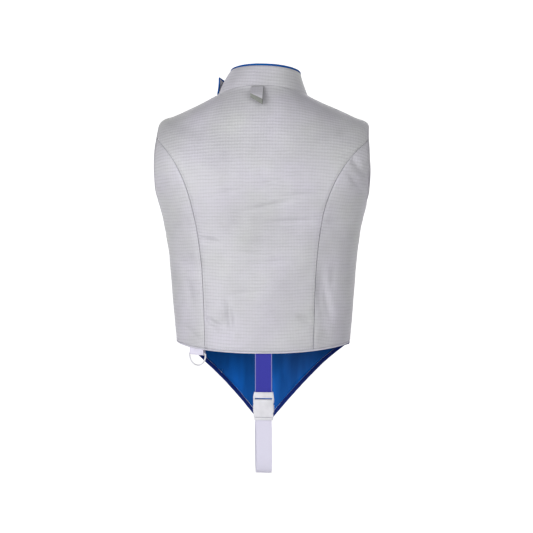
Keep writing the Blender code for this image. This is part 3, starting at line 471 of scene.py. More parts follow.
def solve(error, low, high):
    """The place between low and high where an error changes sign."""
    rising = error(low) < 0
    for _ in range(30):
        middle = (low + high) / 2
        if (error(middle) < 0) == rising:
            low = middle
        else:
            high = middle
    return (low + high) / 2


@lru_cache(maxsize=4096)
def section(level):
    """The torso's section at a level, read smoothly between the rows of TORSO."""
    last = len(TORSO) - 2
    low = min(max(int(level), 0), last)
    part = level - low
    before = TORSO[max(low - 1, 0)]
    after = TORSO[min(low + 2, last + 1)]
    values = []
    for a, b, c, d in zip(before, TORSO[low], TORSO[low + 1], after):
        leave = (c - a) / 2
        arrive = (d - b) / 2
        rise = c - b
        bend = 3 * rise - 2 * leave - arrive + part * (leave + arrive - 2 * rise)
        values.append(b + part * (leave + part * bend))
    return Section(*values)


def torso_point(turn, level):
    """A point of the torso's smooth surface, without its folds."""
    ring = section(level)
    side, along = math.sin(turn), math.cos(turn)
    size = (abs(side) ** ring.square + abs(along) ** ring.square) ** (-1 / ring.square)
    side, along = side * size, along * size
    depth, end_z = (ring.back, ring.z_back) if along > 0 else (ring.front, ring.z_front)
    return Vector((
        ring.half_width * side,
        depth * along,
        ring.z_side + (end_z - ring.z_side) * along * along,
    ))


def torso_normal(turn, level):
    """The direction out of the torso's surface."""
    step = 0.02
    round_it = torso_point(turn + step, level) - torso_point(turn - step, level)
    down = torso_point(turn, level + step) - torso_point(turn, level - step)
    normal = down.cross(round_it).normalized()
    return normal if normal.dot(torso_point(turn, level) * Vector((1, 1, 0))) > 0 else -normal


def sunk(point, folds):
    """How far a table of folds sinks the cloth at a point."""
    depth = 0
    for fold in folds:
        if fold.side * point.y > 0:
            lean = math.radians(fold.lean)
            x, z = point.x - fold.x, point.z - fold.z
            if abs(x) + abs(z) < 3 * fold.length:
                along = z * math.cos(lean) + x * math.sin(lean)
                off = x * math.cos(lean) - z * math.sin(lean)
                depth += fold.depth * math.exp(-(along / fold.length) ** 2 - (off / fold.width) ** 2)
    return depth


def torso(turn, level, depth=0.0):
    """A point of the cloth, at a depth under its outer face."""
    point = torso_point(turn, level)
    share = math.sin(math.pi * min(max(level / UNDERARM, 0), 1))
    tilt = SHOULDER_TILT * share * point.x / TORSO[SHOULDER_TIP].half_width
    moved = Vector((SHOULDER_SHIFT * share, 0, tilt))
    return point + moved - torso_normal(turn, level) * (depth + sunk(point, FOLDS))


def turn_for(distance, turn, level):
    """The turn that moves a point round the torso by a distance."""
    step = 0.01
    round_it = torso_point(turn + step, level) - torso_point(turn - step, level)
    return distance * 2 * step / round_it.length


@lru_cache(maxsize=4096)
def armhole_turn(level, towards):
    """Where the armhole's oval meets a level, on its back or front side."""
    def outside(turn):
        point = torso_point(turn, level)
        reach = (point.y - ARMHOLE_Y) / ARMHOLE_REACH
        height = (point.z - ARMHOLE_Z) / ARMHOLE_HEIGHT
        return reach * reach + height * height - 1
    return solve(outside, SIDE_SEAM, SIDE_SEAM + towards * math.radians(55))


@lru_cache(maxsize=4096)
def shoulder_turn(level):
    """Where the shoulder seam meets a level, a little forward of the shoulder's ridge."""
    return solve(lambda turn: SHOULDER_SEAM_Y - torso_point(turn, level).y, SIDE_SEAM, math.radians(140))


@lru_cache(maxsize=4096)
def back_seam_turn(level):
    """Where the curved back seam meets a level. It falls from the armhole and straightens."""
    def beyond(turn):
        point = torso_point(turn, level)
        return point.x - SEAM_X - SEAM_SPREAD * math.exp((point.z - SEAM_TOP_Z) / SEAM_FALL)
    return solve(beyond, math.radians(5), SIDE_SEAM)


@lru_cache(maxsize=4096)
def zip_turn(level):
    """Where the zip's middle meets a level."""
    reach = ZIP_X + (ZIP_X_AT_NECK - ZIP_X) * math.exp(-level / ZIP_DRIFT)
    return solve(lambda turn: torso_point(turn, level).x - reach, SIDE_SEAM, math.radians(180))


@lru_cache(maxsize=4096)
def flap_turn(level, side):
    """Where the front's slanting lower edge meets a level, at the wearer's left (1) or right (-1)."""
    hem_z, tip_z = TORSO[HEM].z_side, TORSO[FLAP_TIP].z_side

    def beyond(turn):
        point = torso_point(turn, level)
        share = min(max((hem_z - point.z) / (hem_z - tip_z), 0), 1)
        reach = FLAP_SIDE_X + (FLAP_TIP_X - FLAP_SIDE_X) * share
        hollow = FLAP_HOLLOW * math.sin(math.pi * share)
        return side * (point.x - FLAP_SHIFT * smooth_step(share * FLAP_SHIFT_RISE)) - reach + hollow
    turn = solve(lambda part: beyond(side * part), SIDE_SEAM, math.radians(180))
    return turn if side > 0 else math.radians(360) - turn


def armhole_levels():
    """Levels round the armhole, close together where it turns."""
    span = UNDERARM - SHOULDER_TIP
    share = [(1 - math.cos(math.pi * step / ARMHOLE_STEPS)) / 2 for step in range(ARMHOLE_STEPS + 1)]
    levels = [SHOULDER_TIP + span * part for part in share]
    nearest = min(range(1, ARMHOLE_STEPS), key=lambda place: abs(levels[place] - SEAM_START))
    levels[nearest] = SEAM_START
    return levels


SEAM_START = solve(lambda level: armhole_turn(level, -1) - back_seam_turn(level), 4.05, 6)
ARMHOLE_LEVELS = armhole_levels()
SHOULDER_LEVELS = [SHOULDER_TIP * step / SHOULDER_STEPS for step in range(SHOULDER_STEPS + 1)]
BODY_LEVELS = [UNDERARM + (HEM - UNDERARM) * step / BODY_STEPS for step in range(1, BODY_STEPS + 1)]
TO_HEM = SHOULDER_LEVELS + ARMHOLE_LEVELS[1:] + BODY_LEVELS


def back_edge(level):
    """The back panel's left edge: shoulder seam, armhole, then the curved seam."""
    if level <= SHOULDER_TIP:
        return shoulder_turn(level) - turn_for(SEAM_GAP / 2, SIDE_SEAM, level)
    if level < SEAM_START:
        return armhole_turn(level, -1)
    return seam_edge(level) - turn_for(BACK_SEAM_GAP / 2, SIDE_SEAM, level)


def seam_edge(level):
    """The curved seam, stopped short of the armhole so that the side panel starts with a width."""
    start = armhole_turn(level, -1) if level < UNDERARM else SIDE_SEAM
    return min(back_seam_turn(level), start - turn_for(SEAM_POINT, start, level))


def side_edge(level, towards):
    """The armhole's edge, then the side seam, on the side panel (-1) or the front (1)."""
    if level < UNDERARM:
        return armhole_turn(level, towards)
    return SIDE_SEAM + towards * turn_for(SEAM_GAP / 2, SIDE_SEAM, level)


def front_edge(level):
    """The front's outer edge: shoulder seam, armhole, side seam."""
    if level <= SHOULDER_TIP:
        return shoulder_turn(level) + turn_for(SEAM_GAP / 2, SIDE_SEAM, level)
    return side_edge(level, 1)


def zip_edge(level, towards):
    """A front panel's edge beside the zip's slot."""
    turn = zip_turn(level)
    width = ZIP_SLOT + (SEAM_GAP - ZIP_SLOT) * smooth_step((level - ZIP_END) / ZIP_CLOSING)
    return turn + towards * turn_for(width / 2, turn, level)


def left_front_width(level):
    """How far the left front still reaches round, at a level under the hem."""
    last = zip_edge(level, -1)
    return last - flap_turn(level, 1) - turn_for(FLAP_POINT, last, level)


def flap_levels():
    """Levels under the hem, with one where each front meets the slanting edge at the zip."""
    left_end = solve(left_front_width, HEM, FLAP_TIP)
    right_end = solve(lambda level: zip_edge(level, 1) - flap_turn(level, 1), HEM, FLAP_TIP)
    ends = [left_end, right_end]
    even = [HEM + FLAP_STEP * step for step in range(1, round((FLAP_TIP - HEM) / FLAP_STEP) + 1)]
    apart = [level for level in even if min(abs(level - end) for end in ends) > FLAP_STEP / 3]
    return left_end, right_end, sorted(ends + apart)


LEFT_FRONT_END, FRONT_CORNER, FLAP_LEVELS = flap_levels()


def new_object(name, shape, finishes, smooth_angle=50):
    """An object from a bmesh, with its materials."""
    mesh = bpy.data.meshes.new(name)
    shape.to_mesh(mesh)
    shape.free()
    mesh.shade_smooth()
    mesh.set_sharp_from_angle(angle=math.radians(smooth_angle))
    for finish in finishes:
        mesh.materials.append(finish)
    thing = bpy.data.objects.new(name, mesh)
    bpy.context.collection.objects.link(thing)
    return thing


def wall(name, columns, rows, place, finishes):
    """A closed wall of cloth. place(row, column, depth) gives a point and its place on the flat cloth."""
    shape = bmesh.new()
    bmesh.ops.create_grid(shape, x_segments=columns, y_segments=rows, size=0.5)
    made = bmesh.ops.extrude_face_region(shape, geom=shape.faces[:])
    inner = {part for part in made["geom"] if isinstance(part, bmesh.types.BMVert)}
    flat = {}
    for point in shape.verts:
        row = round((point.co.y + 0.5) * rows)
        column = round((point.co.x + 0.5) * columns)
        point.co, flat[point] = place(row, column, 1 if point in inner else 0)
    layer = shape.loops.layers.uv.new("Cloth")
    for face in shape.faces:
        face.material_index = 1 if len(finishes) > 1 and all(point in inner for point in face.verts) else 0
        for loop in face.loops:
            loop[layer].uv = flat[loop.vert]
    bmesh.ops.recalc_face_normals(shape, faces=shape.faces)
    if shape.calc_volume(signed=True) < 0:
        bmesh.ops.reverse_faces(shape, faces=shape.faces)
    return new_object(name, shape, finishes)


def running_length(points):
    """The distance from the first point to each point of a line."""
    run = [0.0]
    for before, after in zip(points, points[1:]):
        run.append(run[-1] + (after - before).length)
    return run


def laid_flat(points):
    """Where each point of a panel lies on the flat cloth: across, and up from its lowest edge."""
    count = len(points[0])
    shape = bmesh.new()
    bmesh.ops.create_grid(shape, x_segments=count - 1, y_segments=len(points) - 1, size=1)
    for spot, point in zip(shape.verts, (point for line in points for point in line)):
        spot.co = point
    bmesh.ops.reverse_faces(shape, faces=shape.faces)
    mesh = bpy.data.meshes.new("flat_cloth")
    shape.to_mesh(mesh)
    shape.free()
    mesh.uv_layers.new(name="Cloth")
    thing = bpy.data.objects.new("flat_cloth", mesh)
    bpy.context.collection.objects.link(thing)
    bpy.context.view_layer.objects.active = thing
    bpy.ops.object.mode_set(mode="EDIT")
    bpy.ops.mesh.select_all(action="SELECT")
    bpy.ops.uv.unwrap(method="MINIMUM_STRETCH", correct_aspect=False, margin=0)
    bpy.ops.object.mode_set(mode="OBJECT")
    layer = mesh.uv_layers["Cloth"].data
    spots = [None] * len(mesh.vertices)
    for loop in mesh.loops:
        spots[loop.vertex_index] = layer[loop.index].uv.copy()
    area = sum(face.area for face in mesh.polygons)
    heights = [vertex.co.z for vertex in mesh.vertices]
    bpy.data.objects.remove(thing, do_unlink=True)
    bpy.data.meshes.remove(mesh)
    spots = upright(spots, heights)
    flat = [spots[row * count:(row + 1) * count] for row in range(len(points))]
    scale = math.sqrt(area / flat_size(flat)[2])
    low = min(spot.y for spot in spots)
    return [[(spot.x * scale, (spot.y - low) * scale) for spot in line] for line in flat]


def upright(spots, heights):
    """Flat places turned about their middle so that they rise as the cloth does."""
    count = len(spots)
    middle = sum(spots, Vector((0, 0))) / count
    mean = sum(heights) / count
    moved = [spot - middle for spot in spots]
    xx = sum(spot.x * spot.x for spot in moved)
    xy = sum(spot.x * spot.y for spot in moved)
    yy = sum(spot.y * spot.y for spot in moved)
    xz = sum(spot.x * (height - mean) for spot, height in zip(moved, heights))
    yz = sum(spot.y * (height - mean) for spot, height in zip(moved, heights))
    rise = Vector((xz * yy - yz * xy, yz * xx - xz * xy)).normalized()
    return [Vector((spot.x * rise.y - spot.y * rise.x, spot.dot(rise))) for spot in moved]


def seam_dip(distance):
    """How far the cloth rolls in at a distance from its edge."""
    return SEAM_DIP * math.exp(-(distance / SEAM_DIP_WIDTH) ** 2)


def pucker(point, distance):
    """Small uneven puckers beside a seam."""
    wave = noise.noise(point / PUCKER_LENGTH) + 0.5 * noise.noise(point / PUCKER_LENGTH * 2.3)
    return PUCKER_DEPTH * wave * math.exp(-distance / PUCKER_REACH)


def ripple(point):
    """The cloth's soft unevenness away from its seams."""
    place = Vector((point.x, point.y, point.z * 0.6)) / RIPPLE_LENGTH
    return RIPPLE_DEPTH * noise.noise(place) + 0.3 * RIPPLE_DEPTH * noise.noise(place * 2.7)


def cloth_wall(name, points, normals, flat, thickness, finishes):
    """A wall of cloth from rows of points and their places laid flat, with its flat size."""
    def place(row, column, depth):
        return points[row][column] - normals[row][column] * (thickness * depth), flat[row][column]
    return wall(name, len(points[0]) - 1, len(points) - 1, place, finishes), flat_size(flat)


def cloth_panel(name, rows, columns, finishes, dips):
    """A panel from rows of (level, first turn, last turn), with its creases, rolled edges and puckers."""
    points, normals = [], []
    for level, first, last in rows:
        turns = [first + (last - first) * step / columns for step in range(columns + 1)]
        points.append([torso(turn, level) for turn in turns])
        normals.append([torso_normal(turn, level) for turn in turns])
    runs = [running_length(line) for line in points]
    falls = [running_length([line[column] for line in points]) for column in range(columns + 1)]
    for row, line in enumerate(points):
        for column, point in enumerate(line):
            run, fall = runs[row], falls[column]
            edges = (run[column], run[-1] - run[column], fall[row], fall[-1] - fall[row])
            nearest = min(edges)
            dip = sum(share * seam_dip(distance) for share, distance in zip(dips, edges))
            hold = smooth_step(nearest / CREASE_MARGIN)
            sink = dip + pucker(point, nearest) * smooth_step(nearest / PUCKER_MARGIN)
            sink += (sunk(point, CREASES) + ripple(point)) * hold
            line[column] = point - normals[row][column] * sink
    return cloth_wall(name, points, normals, laid_flat(points), WALL, finishes)


def flat_size(flat):
    """Width, length and area of a piece laid flat."""
    across = [place[0] for line in flat for place in line]
    down = [place[1] for line in flat for place in line]
    area = 0
    for line, below in zip(flat, flat[1:]):
        for here in range(len(line) - 1):
            a, b, c, d = line[here], line[here + 1], below[here + 1], below[here]
            area += abs((c[0] - a[0]) * (d[1] - b[1]) - (d[0] - b[0]) * (c[1] - a[1])) / 2
    return max(across) - min(across), max(down) - min(down), area


def declare_cloth(piece, size, nodes):
    """Say what a cloth piece replaces and rides on."""
    width, length, area = size
    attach(piece, GARMENT)
    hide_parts(*nodes)
    min(area, width * length)


def collar_lift(turn):
    """0 on the collar, rising to 1 where its front end passes outside the back part."""
    return smooth_step((TAB_START - turn) / (TAB_START - TAB_RISEN))


def collar_surface(turn, height, lifted=False):
    """A point of the collar's outside, height 0 at the neck seam and 1 at the top edge."""
    foot = torso_point(turn, NECK)
    flat = Vector((foot.x, foot.y, 0))
    foot += (foot - torso_point(turn, NECK + 0.1)).normalized() * ROOM
    side, along = flat.x / TORSO[NECK].half_width, flat.y
    along /= TORSO[NECK].back if along > 0 else TORSO[NECK].front
    back = along > 0
    end_z = COLLAR_TOP_BACK if back else COLLAR_TOP_FRONT
    top = Vector((
        COLLAR_HALF_WIDTH * side,
        (COLLAR_BACK if back else COLLAR_FRONT) * along,
        COLLAR_TOP_SIDE + (end_z - COLLAR_TOP_SIDE) * abs(along) ** COLLAR_TOP_BEND + COLLAR_TILT * side,
    ))
    narrowing = height ** COLLAR_NARROWING if height > 0 else 0
    point = foot.lerp(top, narrowing)
    point.z = foot.z + (top.z - foot.z) * height
    point.x -= COLLAR_LEAN * height * height
    if lifted:
        out = flat.normalized()
        point += out * collar_lift(turn) * (TAB_CLEAR + TAB_FLARE * max(height, 0) ** TAB_FLARE_BEND)
        curl = smooth_step((TAB_CURL_START - turn) / (TAB_CURL_START - TAB_END))
        point += out * TAB_CURL * curl * height * height
    return point


def collar_normal(turn, height, lifted=False):
    """The direction out of the collar."""
    step = 0.02
    round_it = collar_surface(turn + step, height, lifted) - collar_surface(turn - step, height, lifted)
    up = collar_surface(turn, height + step, lifted) - collar_surface(turn, height, lifted)
    normal = up.cross(round_it).normalized()
    return normal if normal.dot(collar_surface(turn, height) * Vector((1, 1, 0))) > 0 else -normal


def front_collar_low(turn):
    """The front collar's lower edge, which rises before the end passes outside."""
    return TAB_LOW * smooth_step((TAB_LOW_START - turn) / TAB_LOW_SPAN)


def front_collar_high(turn):
    """The front collar's upper edge, lower on the overlapping end."""
    return 1 - (1 - TAB_HIGH) * smooth_step((TAB_HIGH_START - turn) / (TAB_HIGH_START - TAB_END))


def back_collar_turn(share):
    """The turn at a share of the back collar's length, from the right shoulder round to the zip."""
    first = COLLAR_JOIN - math.radians(360) + turn_for(SEAM_GAP, SIDE_SEAM, NECK)
    return first + (COLLAR_OPENING - first) * share


def front_collar_turn(share):
    """The turn at a share of the front collar's length, from the right shoulder to the tab's end."""
    return COLLAR_JOIN + (TAB_END - COLLAR_JOIN) * share


def collar_piece(name, steps, turn_at, edges, lifted, finishes):
    """One part of the collar, with its edges rolled and its cloth a little uneven."""
    points, normals = [], []
    for step in range(steps + 1):
        turn = turn_at(step / steps)
        low, high = (edge(turn) for edge in edges)
        line, outs = [], []
        for row in range(COLLAR_ROWS + 1):
            height = low + (high - low) * row / COLLAR_ROWS
            normal = collar_normal(turn, height, lifted)
            point = collar_surface(turn, height, lifted)
            reach = (COLLAR_TOP_BACK - TORSO[NECK].z_back) * min(height - low, high - height)
            roll = COLLAR_FOOT_ROLL if height - low < high - height else COLLAR_TOP_ROLL
            sink = roll * seam_dip(reach) + 0.5 * ripple(point * 1.4) * smooth_step(reach / COLLAR_MARGIN)
            line.append(point - normal * sink)
            outs.append(normal)
        points.append(line)
        normals.append(outs)
    return cloth_wall(name, points, normals, laid_flat(points), COLLAR_WALL, finishes)


Edge = namedtuple("Edge", "point inside normal")


def edging(name, path, sizes, cloth):
    """A narrow rounded binding along a cloth edge, with mitred ends, of a width and thickness on a wall."""
    width, thickness, wall_thickness = sizes
    last = len(path) - 1
    run = running_length([edge.point for edge in path])
    frames = []
    for here, edge in enumerate(path):
        tangent = (path[min(here + 1, last)].point - path[max(here - 1, 0)].point).normalized()
        normal = (edge.normal - tangent * edge.normal.dot(tangent)).normalized()
        away = edge.point - edge.inside
        away -= normal * away.dot(normal)
        out = (away - tangent * away.dot(tangent)).normalized()
        if here in (0, last):
            out = away / away.dot(out)
        frames.append((out, normal))

    def place(row, column, depth):
        share = column / EDGING_COLUMNS
        out, normal = frames[row]
        shoulder = 1 - EDGING_ROUND + EDGING_ROUND * smooth_step(share * 4)
        swell = thickness * (1 - EDGING_TAPER * share ** 4) * shoulder
        lift = normal * ((0.5 - depth) * swell - wall_thickness / 2)
        uneven = 1 + EDGING_UNEVEN * noise.noise(path[row].point / EDGING_WAVE)
        point = path[row].point + out * (SEAM_GAP + width * share * uneven) + lift
        return point, (run[row], share * width + depth * (width + thickness))
    piece = wall(name, EDGING_COLUMNS, last, place, (finish(cloth),))
    return piece, (max(EDGING_CUT * width + thickness, NARROWEST_CUT), run[-1])


def dress_edging(piece, size, slot, *nodes):
    """Say what a binding replaces and rides on."""
    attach(piece, GARMENT)
    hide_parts(*nodes)
    area = sum(face.area for face in piece.data.polygons) / 2


def torso_edge(turn, level, inside):
    """An edge point on the torso's cloth, a little under the smooth surface as the cloth's edge is."""
    normal = torso_normal(turn, level)
    return Edge(torso(turn, level) - normal * SEAM_DIP / 2, inside, normal)


def places_along(line, start, pitch):
    """Places at a pitch down a line: each point, its direction, and the number of the line's piece."""
    run = running_length(line)
    place, here = start, 0
    while place < run[-1]:
        while run[here + 1] < place:
            here += 1
        share = (place - run[here]) / (run[here + 1] - run[here])
        yield line[here].lerp(line[here + 1], share), (line[here + 1] - line[here]).normalized(), here
        place += pitch


def stitch_row(shape, line):
    """Add a row of small stitches along a line of (point, normal)."""
    points = [point for point, _ in line]
    for point, along, here in places_along(points, STITCH_PITCH / 2, STITCH_PITCH):
        out = line[here][1]
        side = along.cross(out).normalized()
        sizes = (along * STITCH_LENGTH / 2, side * STITCH_RADIUS, side.cross(along) * STITCH_RADIUS)
        turned = Matrix(sizes).transposed().to_4x4()
        turned.translation = point + out * STITCH_RADIUS * STITCH_RISE
        bmesh.ops.create_uvsphere(shape, u_segments=6, v_segments=4, radius=1, matrix=turned @ ROUND_TO_LONG)


def edge_line(turn_at, inset, levels, side=1, dip=1.0):
    """A line on the torso's cloth beside an edge, as (point, normal)."""
    line = []
    for level in levels:
        edge = turn_at(level)
        turn = side * (edge + turn_for(inset, edge, level))
        normal = torso_normal(turn, level)
        line.append((torso(turn, level, dip * seam_dip(abs(inset))), normal))
    return line


def calc(tree, operation, *values):
    """A Math node's result."""
    made = tree.nodes.new("ShaderNodeMath")
    made.operation = operation
    for slot, value in zip(made.inputs, values):
        if isinstance(value, bpy.types.NodeSocket):
            tree.links.new(value, slot)
        else:
            slot.default_value = value
    return made.outputs[0]


def noise_value(tree, place, scale, detail=2.0, roughness=0.5):
    """A Noise Texture's value at a place."""
    made = tree.nodes.new("ShaderNodeTexNoise")
    made.inputs["Detail"].default_value = detail
    made.inputs["Roughness"].default_value = roughness
    tree.links.new(place, made.inputs["Vector"])
    if isinstance(scale, bpy.types.NodeSocket):
        tree.links.new(scale, made.inputs["Scale"])
    else:
        made.inputs["Scale"].default_value = scale
    return made.outputs["Fac"]


def blend_colour(tree, share, first, second):
    """A Mix node's colour."""
    made = tree.nodes.new("ShaderNodeMix")
    made.data_type = "RGBA"
    factor, start, end = made.inputs["Factor"], made.inputs[6], made.inputs[7]
    for slot, value in ((factor, share), (start, first), (end, second)):
        if isinstance(value, bpy.types.NodeSocket):
            tree.links.new(value, slot)
        elif slot == factor:
            slot.default_value = value
        else:
            slot.default_value = (*value[:3], 1)
    return made.outputs[2]


def spread(tree, value, low, high, to_low=0.0, to_high=1.0):
    """A value moved from one range to another, held inside it."""
    made = tree.nodes.new("ShaderNodeMapRange")
    tree.links.new(value, made.inputs["Value"])
    for name, number in (("From Min", low), ("From Max", high), ("To Min", to_low), ("To Max", to_high)):
        made.inputs[name].default_value = number
    return made.outputs["Result"]


def new_group(name, inputs, outputs):
    """A shader node group with named sockets, and its input and output nodes."""
    group = bpy.data.node_groups.new(name, "ShaderNodeTree")
    for label, kind, value in inputs:
        slot = group.interface.new_socket(name=label, in_out="INPUT", socket_type=kind)
        if value is not None:
            slot.default_value = value
    for label in outputs:
        group.interface.new_socket(name=label, in_out="OUTPUT", socket_type="NodeSocketFloat")
    return group, group.nodes.new("NodeGroupInput").outputs, group.nodes.new("NodeGroupOutput").inputs


def parts_of(tree, place):
    """The X, Y and Z of a vector socket."""
    made = tree.nodes.new("ShaderNodeSeparateXYZ")
    tree.links.new(place, made.inputs[0])
    return made.outputs


def waves(tree, distance, pitch):
    """A wave from 0 to 1 along a distance, repeated at a pitch."""
    turn = calc(tree, "MULTIPLY", calc(tree, "DIVIDE", distance, pitch), 2 * math.pi)
    return calc(tree, "MULTIPLY_ADD", calc(tree, "SINE", turn), 0.5, 0.5)


def ribbed_group():
    """Level ribs and upright lines woven into cloth, slightly uneven."""
    group, given, out = new_group("woven_ribs", (
        ("Place", "NodeSocketVector", None), ("Rib Pitch", "NodeSocketFloat", 0.006),
        ("Line Pitch", "NodeSocketFloat", 0.005), ("Unevenness", "NodeSocketFloat", 0.0042),
    ), ("Ribs", "Lines", "Height"))
    across, down, _ = parts_of(group, given["Place"])
    waver = calc(group, "SUBTRACT", noise_value(group, given["Place"], 26.0), 0.5)
    fading = spread(group, noise_value(group, given["Place"], 60.0, 3.0), 0.32, 0.66, 0.35, 1.0)
    drift = calc(group, "MULTIPLY", waver, given["Unevenness"])
    ribs = waves(group, calc(group, "ADD", down, drift), given["Rib Pitch"])
    lines = waves(group, calc(group, "ADD", across, drift), given["Line Pitch"])
    weft = waves(group, down, 0.00074)
    warp = waves(group, across, 0.00082)
    threads = calc(group, "MULTIPLY", weft, warp)
    height = calc(group, "ADD", calc(group, "MULTIPLY", ribs, 0.6), calc(group, "MULTIPLY", lines, 0.25))
    group.links.new(calc(group, "MULTIPLY", calc(group, "POWER", ribs, 4.0), fading), out["Ribs"])
    group.links.new(calc(group, "POWER", lines, 3.0), out["Lines"])
    group.links.new(calc(group, "ADD", height, calc(group, "MULTIPLY", threads, 0.25)), out["Height"])


def wear_group():
    """Broad patches of wear and fine grain over an object."""
    group, given, out = new_group("cloth_wear", (
        ("Place", "NodeSocketVector", None), ("Patches", "NodeSocketFloat", 9.0),
        ("Grain", "NodeSocketFloat", 260.0),
    ), ("Patches", "Grain"))
    broad = noise_value(group, given["Place"], given["Patches"], 3.0, 0.55)
    fine = noise_value(group, given["Place"], given["Grain"], 2.0, 0.6)
    group.links.new(spread(group, broad, 0.34, 0.68), out["Patches"])
    group.links.new(spread(group, fine, 0.3, 0.7), out["Grain"])


def tape_group():
    """The over and under threads of a woven tape or binding."""
    group, given, out = new_group("tape_weave", (
        ("Place", "NodeSocketVector", None), ("Thread", "NodeSocketFloat", 0.0012),
        ("Slant", "NodeSocketFloat", 0.0),
    ), ("Weave", "Height"))
    across, down, _ = parts_of(group, given["Place"])
    leaning = calc(group, "MULTIPLY_ADD", down, given["Slant"], across)
    first = waves(group, leaning, given["Thread"])
    second = waves(group, down, calc(group, "MULTIPLY", given["Thread"], 0.8))
    group.links.new(calc(group, "MULTIPLY", first, second), out["Weave"])
    group.links.new(calc(group, "MAXIMUM", first, calc(group, "SUBTRACT", 1.0, second)), out["Height"])


def place_group(tree, name, **values):
    """A group node in a material, with its own values."""
    made = tree.nodes.new("ShaderNodeGroup")
    made.node_tree = bpy.data.node_groups[name]
    for label, value in values.items():
        slot = made.inputs[label.replace("_", " ")]
        if isinstance(value, bpy.types.NodeSocket):
            tree.links.new(value, slot)
        else:
            slot.default_value = value
    return made.outputs


def coordinates(tree):
    """Object coordinates, and the place on the flat cloth."""
    place = tree.nodes.new("ShaderNodeTexCoord").outputs["Object"]
    flat = tree.nodes.new("ShaderNodeUVMap")
    flat.uv_map = "Cloth"
    return place, flat.outputs["UV"]


def new_material(name, roughness, metallic=0.0, **plain):
    """A material with a Principled shader, its tree and the shader."""
    made = bpy.data.materials.new(name)
    made.use_nodes = True
    shader = made.node_tree.nodes["Principled BSDF"]
    shader.inputs["Roughness"].default_value = roughness
    shader.inputs["Metallic"].default_value = metallic
    for label, value in plain.items():
        shader.inputs[label.replace("_", " ")].default_value = value
    return made, made.node_tree, shader


def raise_surface(tree, shader, height, distance):
    """A Bump node on the shader's normal."""
    bump = tree.nodes.new("ShaderNodeBump")
    bump.inputs["Strength"].default_value = 1
    bump.inputs["Distance"].default_value = distance
    tree.links.new(height, bump.inputs["Height"])
    tree.links.new(bump.outputs["Normal"], shader.inputs["Normal"])


def tinted(colour, factor):
    """A colour made lighter or darker."""
    return tuple(min(channel * factor, 1) for channel in colour)


def lame_material(cloth):
    """The metallic cloth: a silver weave with level ribs, upright lines, dull patches and shifts of tone."""
    made, tree, shader = new_material("lame_cloth", 0.6, 0.30, Sheen_Weight=0.05, Specular_IOR_Level=0.35)
    colour = cloth.lame_colour
    place, flat = coordinates(tree)
    ribs = place_group(tree, "woven_ribs", Place=flat, Rib_Pitch=cloth.rib_pitch, Line_Pitch=cloth.line_pitch)
    wear = place_group(tree, "cloth_wear", Place=place, Patches=11.0)
    tone = place_group(tree, "cloth_wear", Place=flat, Patches=7.0)
    cool = tuple(channel * share for channel, share in zip(colour, LAME_COOL))
    warm = tuple(channel * share for channel, share in zip(colour, LAME_WARM))
    base = blend_colour(tree, tone["Patches"], cool, warm)
    for mask, strength, dark in (
        (wear["Patches"], 0.32, 0.55), (ribs["Ribs"], 0.36, 0.52),
        (ribs["Lines"], 0.13, 0.60), (wear["Grain"], 0.10, 0.65),
    ):
        base = blend_colour(tree, calc(tree, "MULTIPLY", mask, strength), base, tinted(colour, dark))
    tree.links.new(base, shader.inputs["Base Color"])
    tree.links.new(spread(tree, wear["Patches"], 0, 1, 0.66, 0.54), shader.inputs["Roughness"])
    raise_surface(tree, shader, ribs["Height"], 0.00022)
    return made


def plain_cloth(name, colour, thread, roughness, contrast=0.25, height=0.00012, slant=0.0):
    """A woven tape, binding or lining in one colour, with its threads and its wear."""
    made, tree, shader = new_material(name, roughness, Specular_IOR_Level=0.1)
    place, flat = coordinates(tree)
    weave = place_group(tree, "tape_weave", Place=flat, Thread=thread, Slant=slant)
    wear = place_group(tree, "cloth_wear", Place=place, Patches=14.0)
    base = blend_colour(tree, wear["Patches"], tinted(colour, 0.85), tinted(colour, 1.10))
    shade = calc(tree, "MULTIPLY", weave["Weave"], contrast)
    base = blend_colour(tree, shade, base, tinted(colour, 0.55))
    tree.links.new(base, shader.inputs["Base Color"])
    rough = spread(tree, wear["Grain"], 0, 1, roughness - 0.06, roughness + 0.06)
    tree.links.new(rough, shader.inputs["Roughness"])
    raise_surface(tree, shader, weave["Height"], height)
    return made


def lining_material(colour):
    """The satin lining: slanting soft folds painted in light and shade, and painted shade that darkens it up
    inside the vest.
    """
    made, tree, shader = new_material("blue_lining", 0.45, Specular_IOR_Level=0.08)
    place, flat = coordinates(tree)
    weave = place_group(tree, "tape_weave", Place=flat, Thread=0.0006)
    turned = tree.nodes.new("ShaderNodeMapping")
    turned.inputs["Rotation"].default_value = (0, math.radians(LINING_SLANT), 0)
    turned.inputs["Scale"].default_value = LINING_STRETCH
    tree.links.new(place, turned.inputs["Vector"])
    # Slanting noise bands painted lighter and darker, as the light and shade of soft satin folds
    folds = spread(tree, noise_value(tree, turned.outputs["Vector"], 1.0, 2.5), 0.36, 0.64)
    base = blend_colour(tree, folds, tinted(colour, 0.72), tinted(colour, 1.15))
    # Painted shade: the lining darkens from just under the hem up into the vest, where the hem shadows it
    inside = spread(tree, parts_of(tree, place)[2], *LINING_SHADE)
    base = blend_colour(tree, inside, base, tinted(colour, 0.30))
    base = blend_colour(tree, calc(tree, "MULTIPLY", weave["Weave"], 0.12), base, tinted(colour, 0.6))
    tree.links.new(base, shader.inputs["Base Color"])
    tree.links.new(spread(tree, folds, 0, 1, 0.5, 0.38), shader.inputs["Roughness"])
    raise_surface(tree, shader, weave["Height"], 0.00003)
    return made


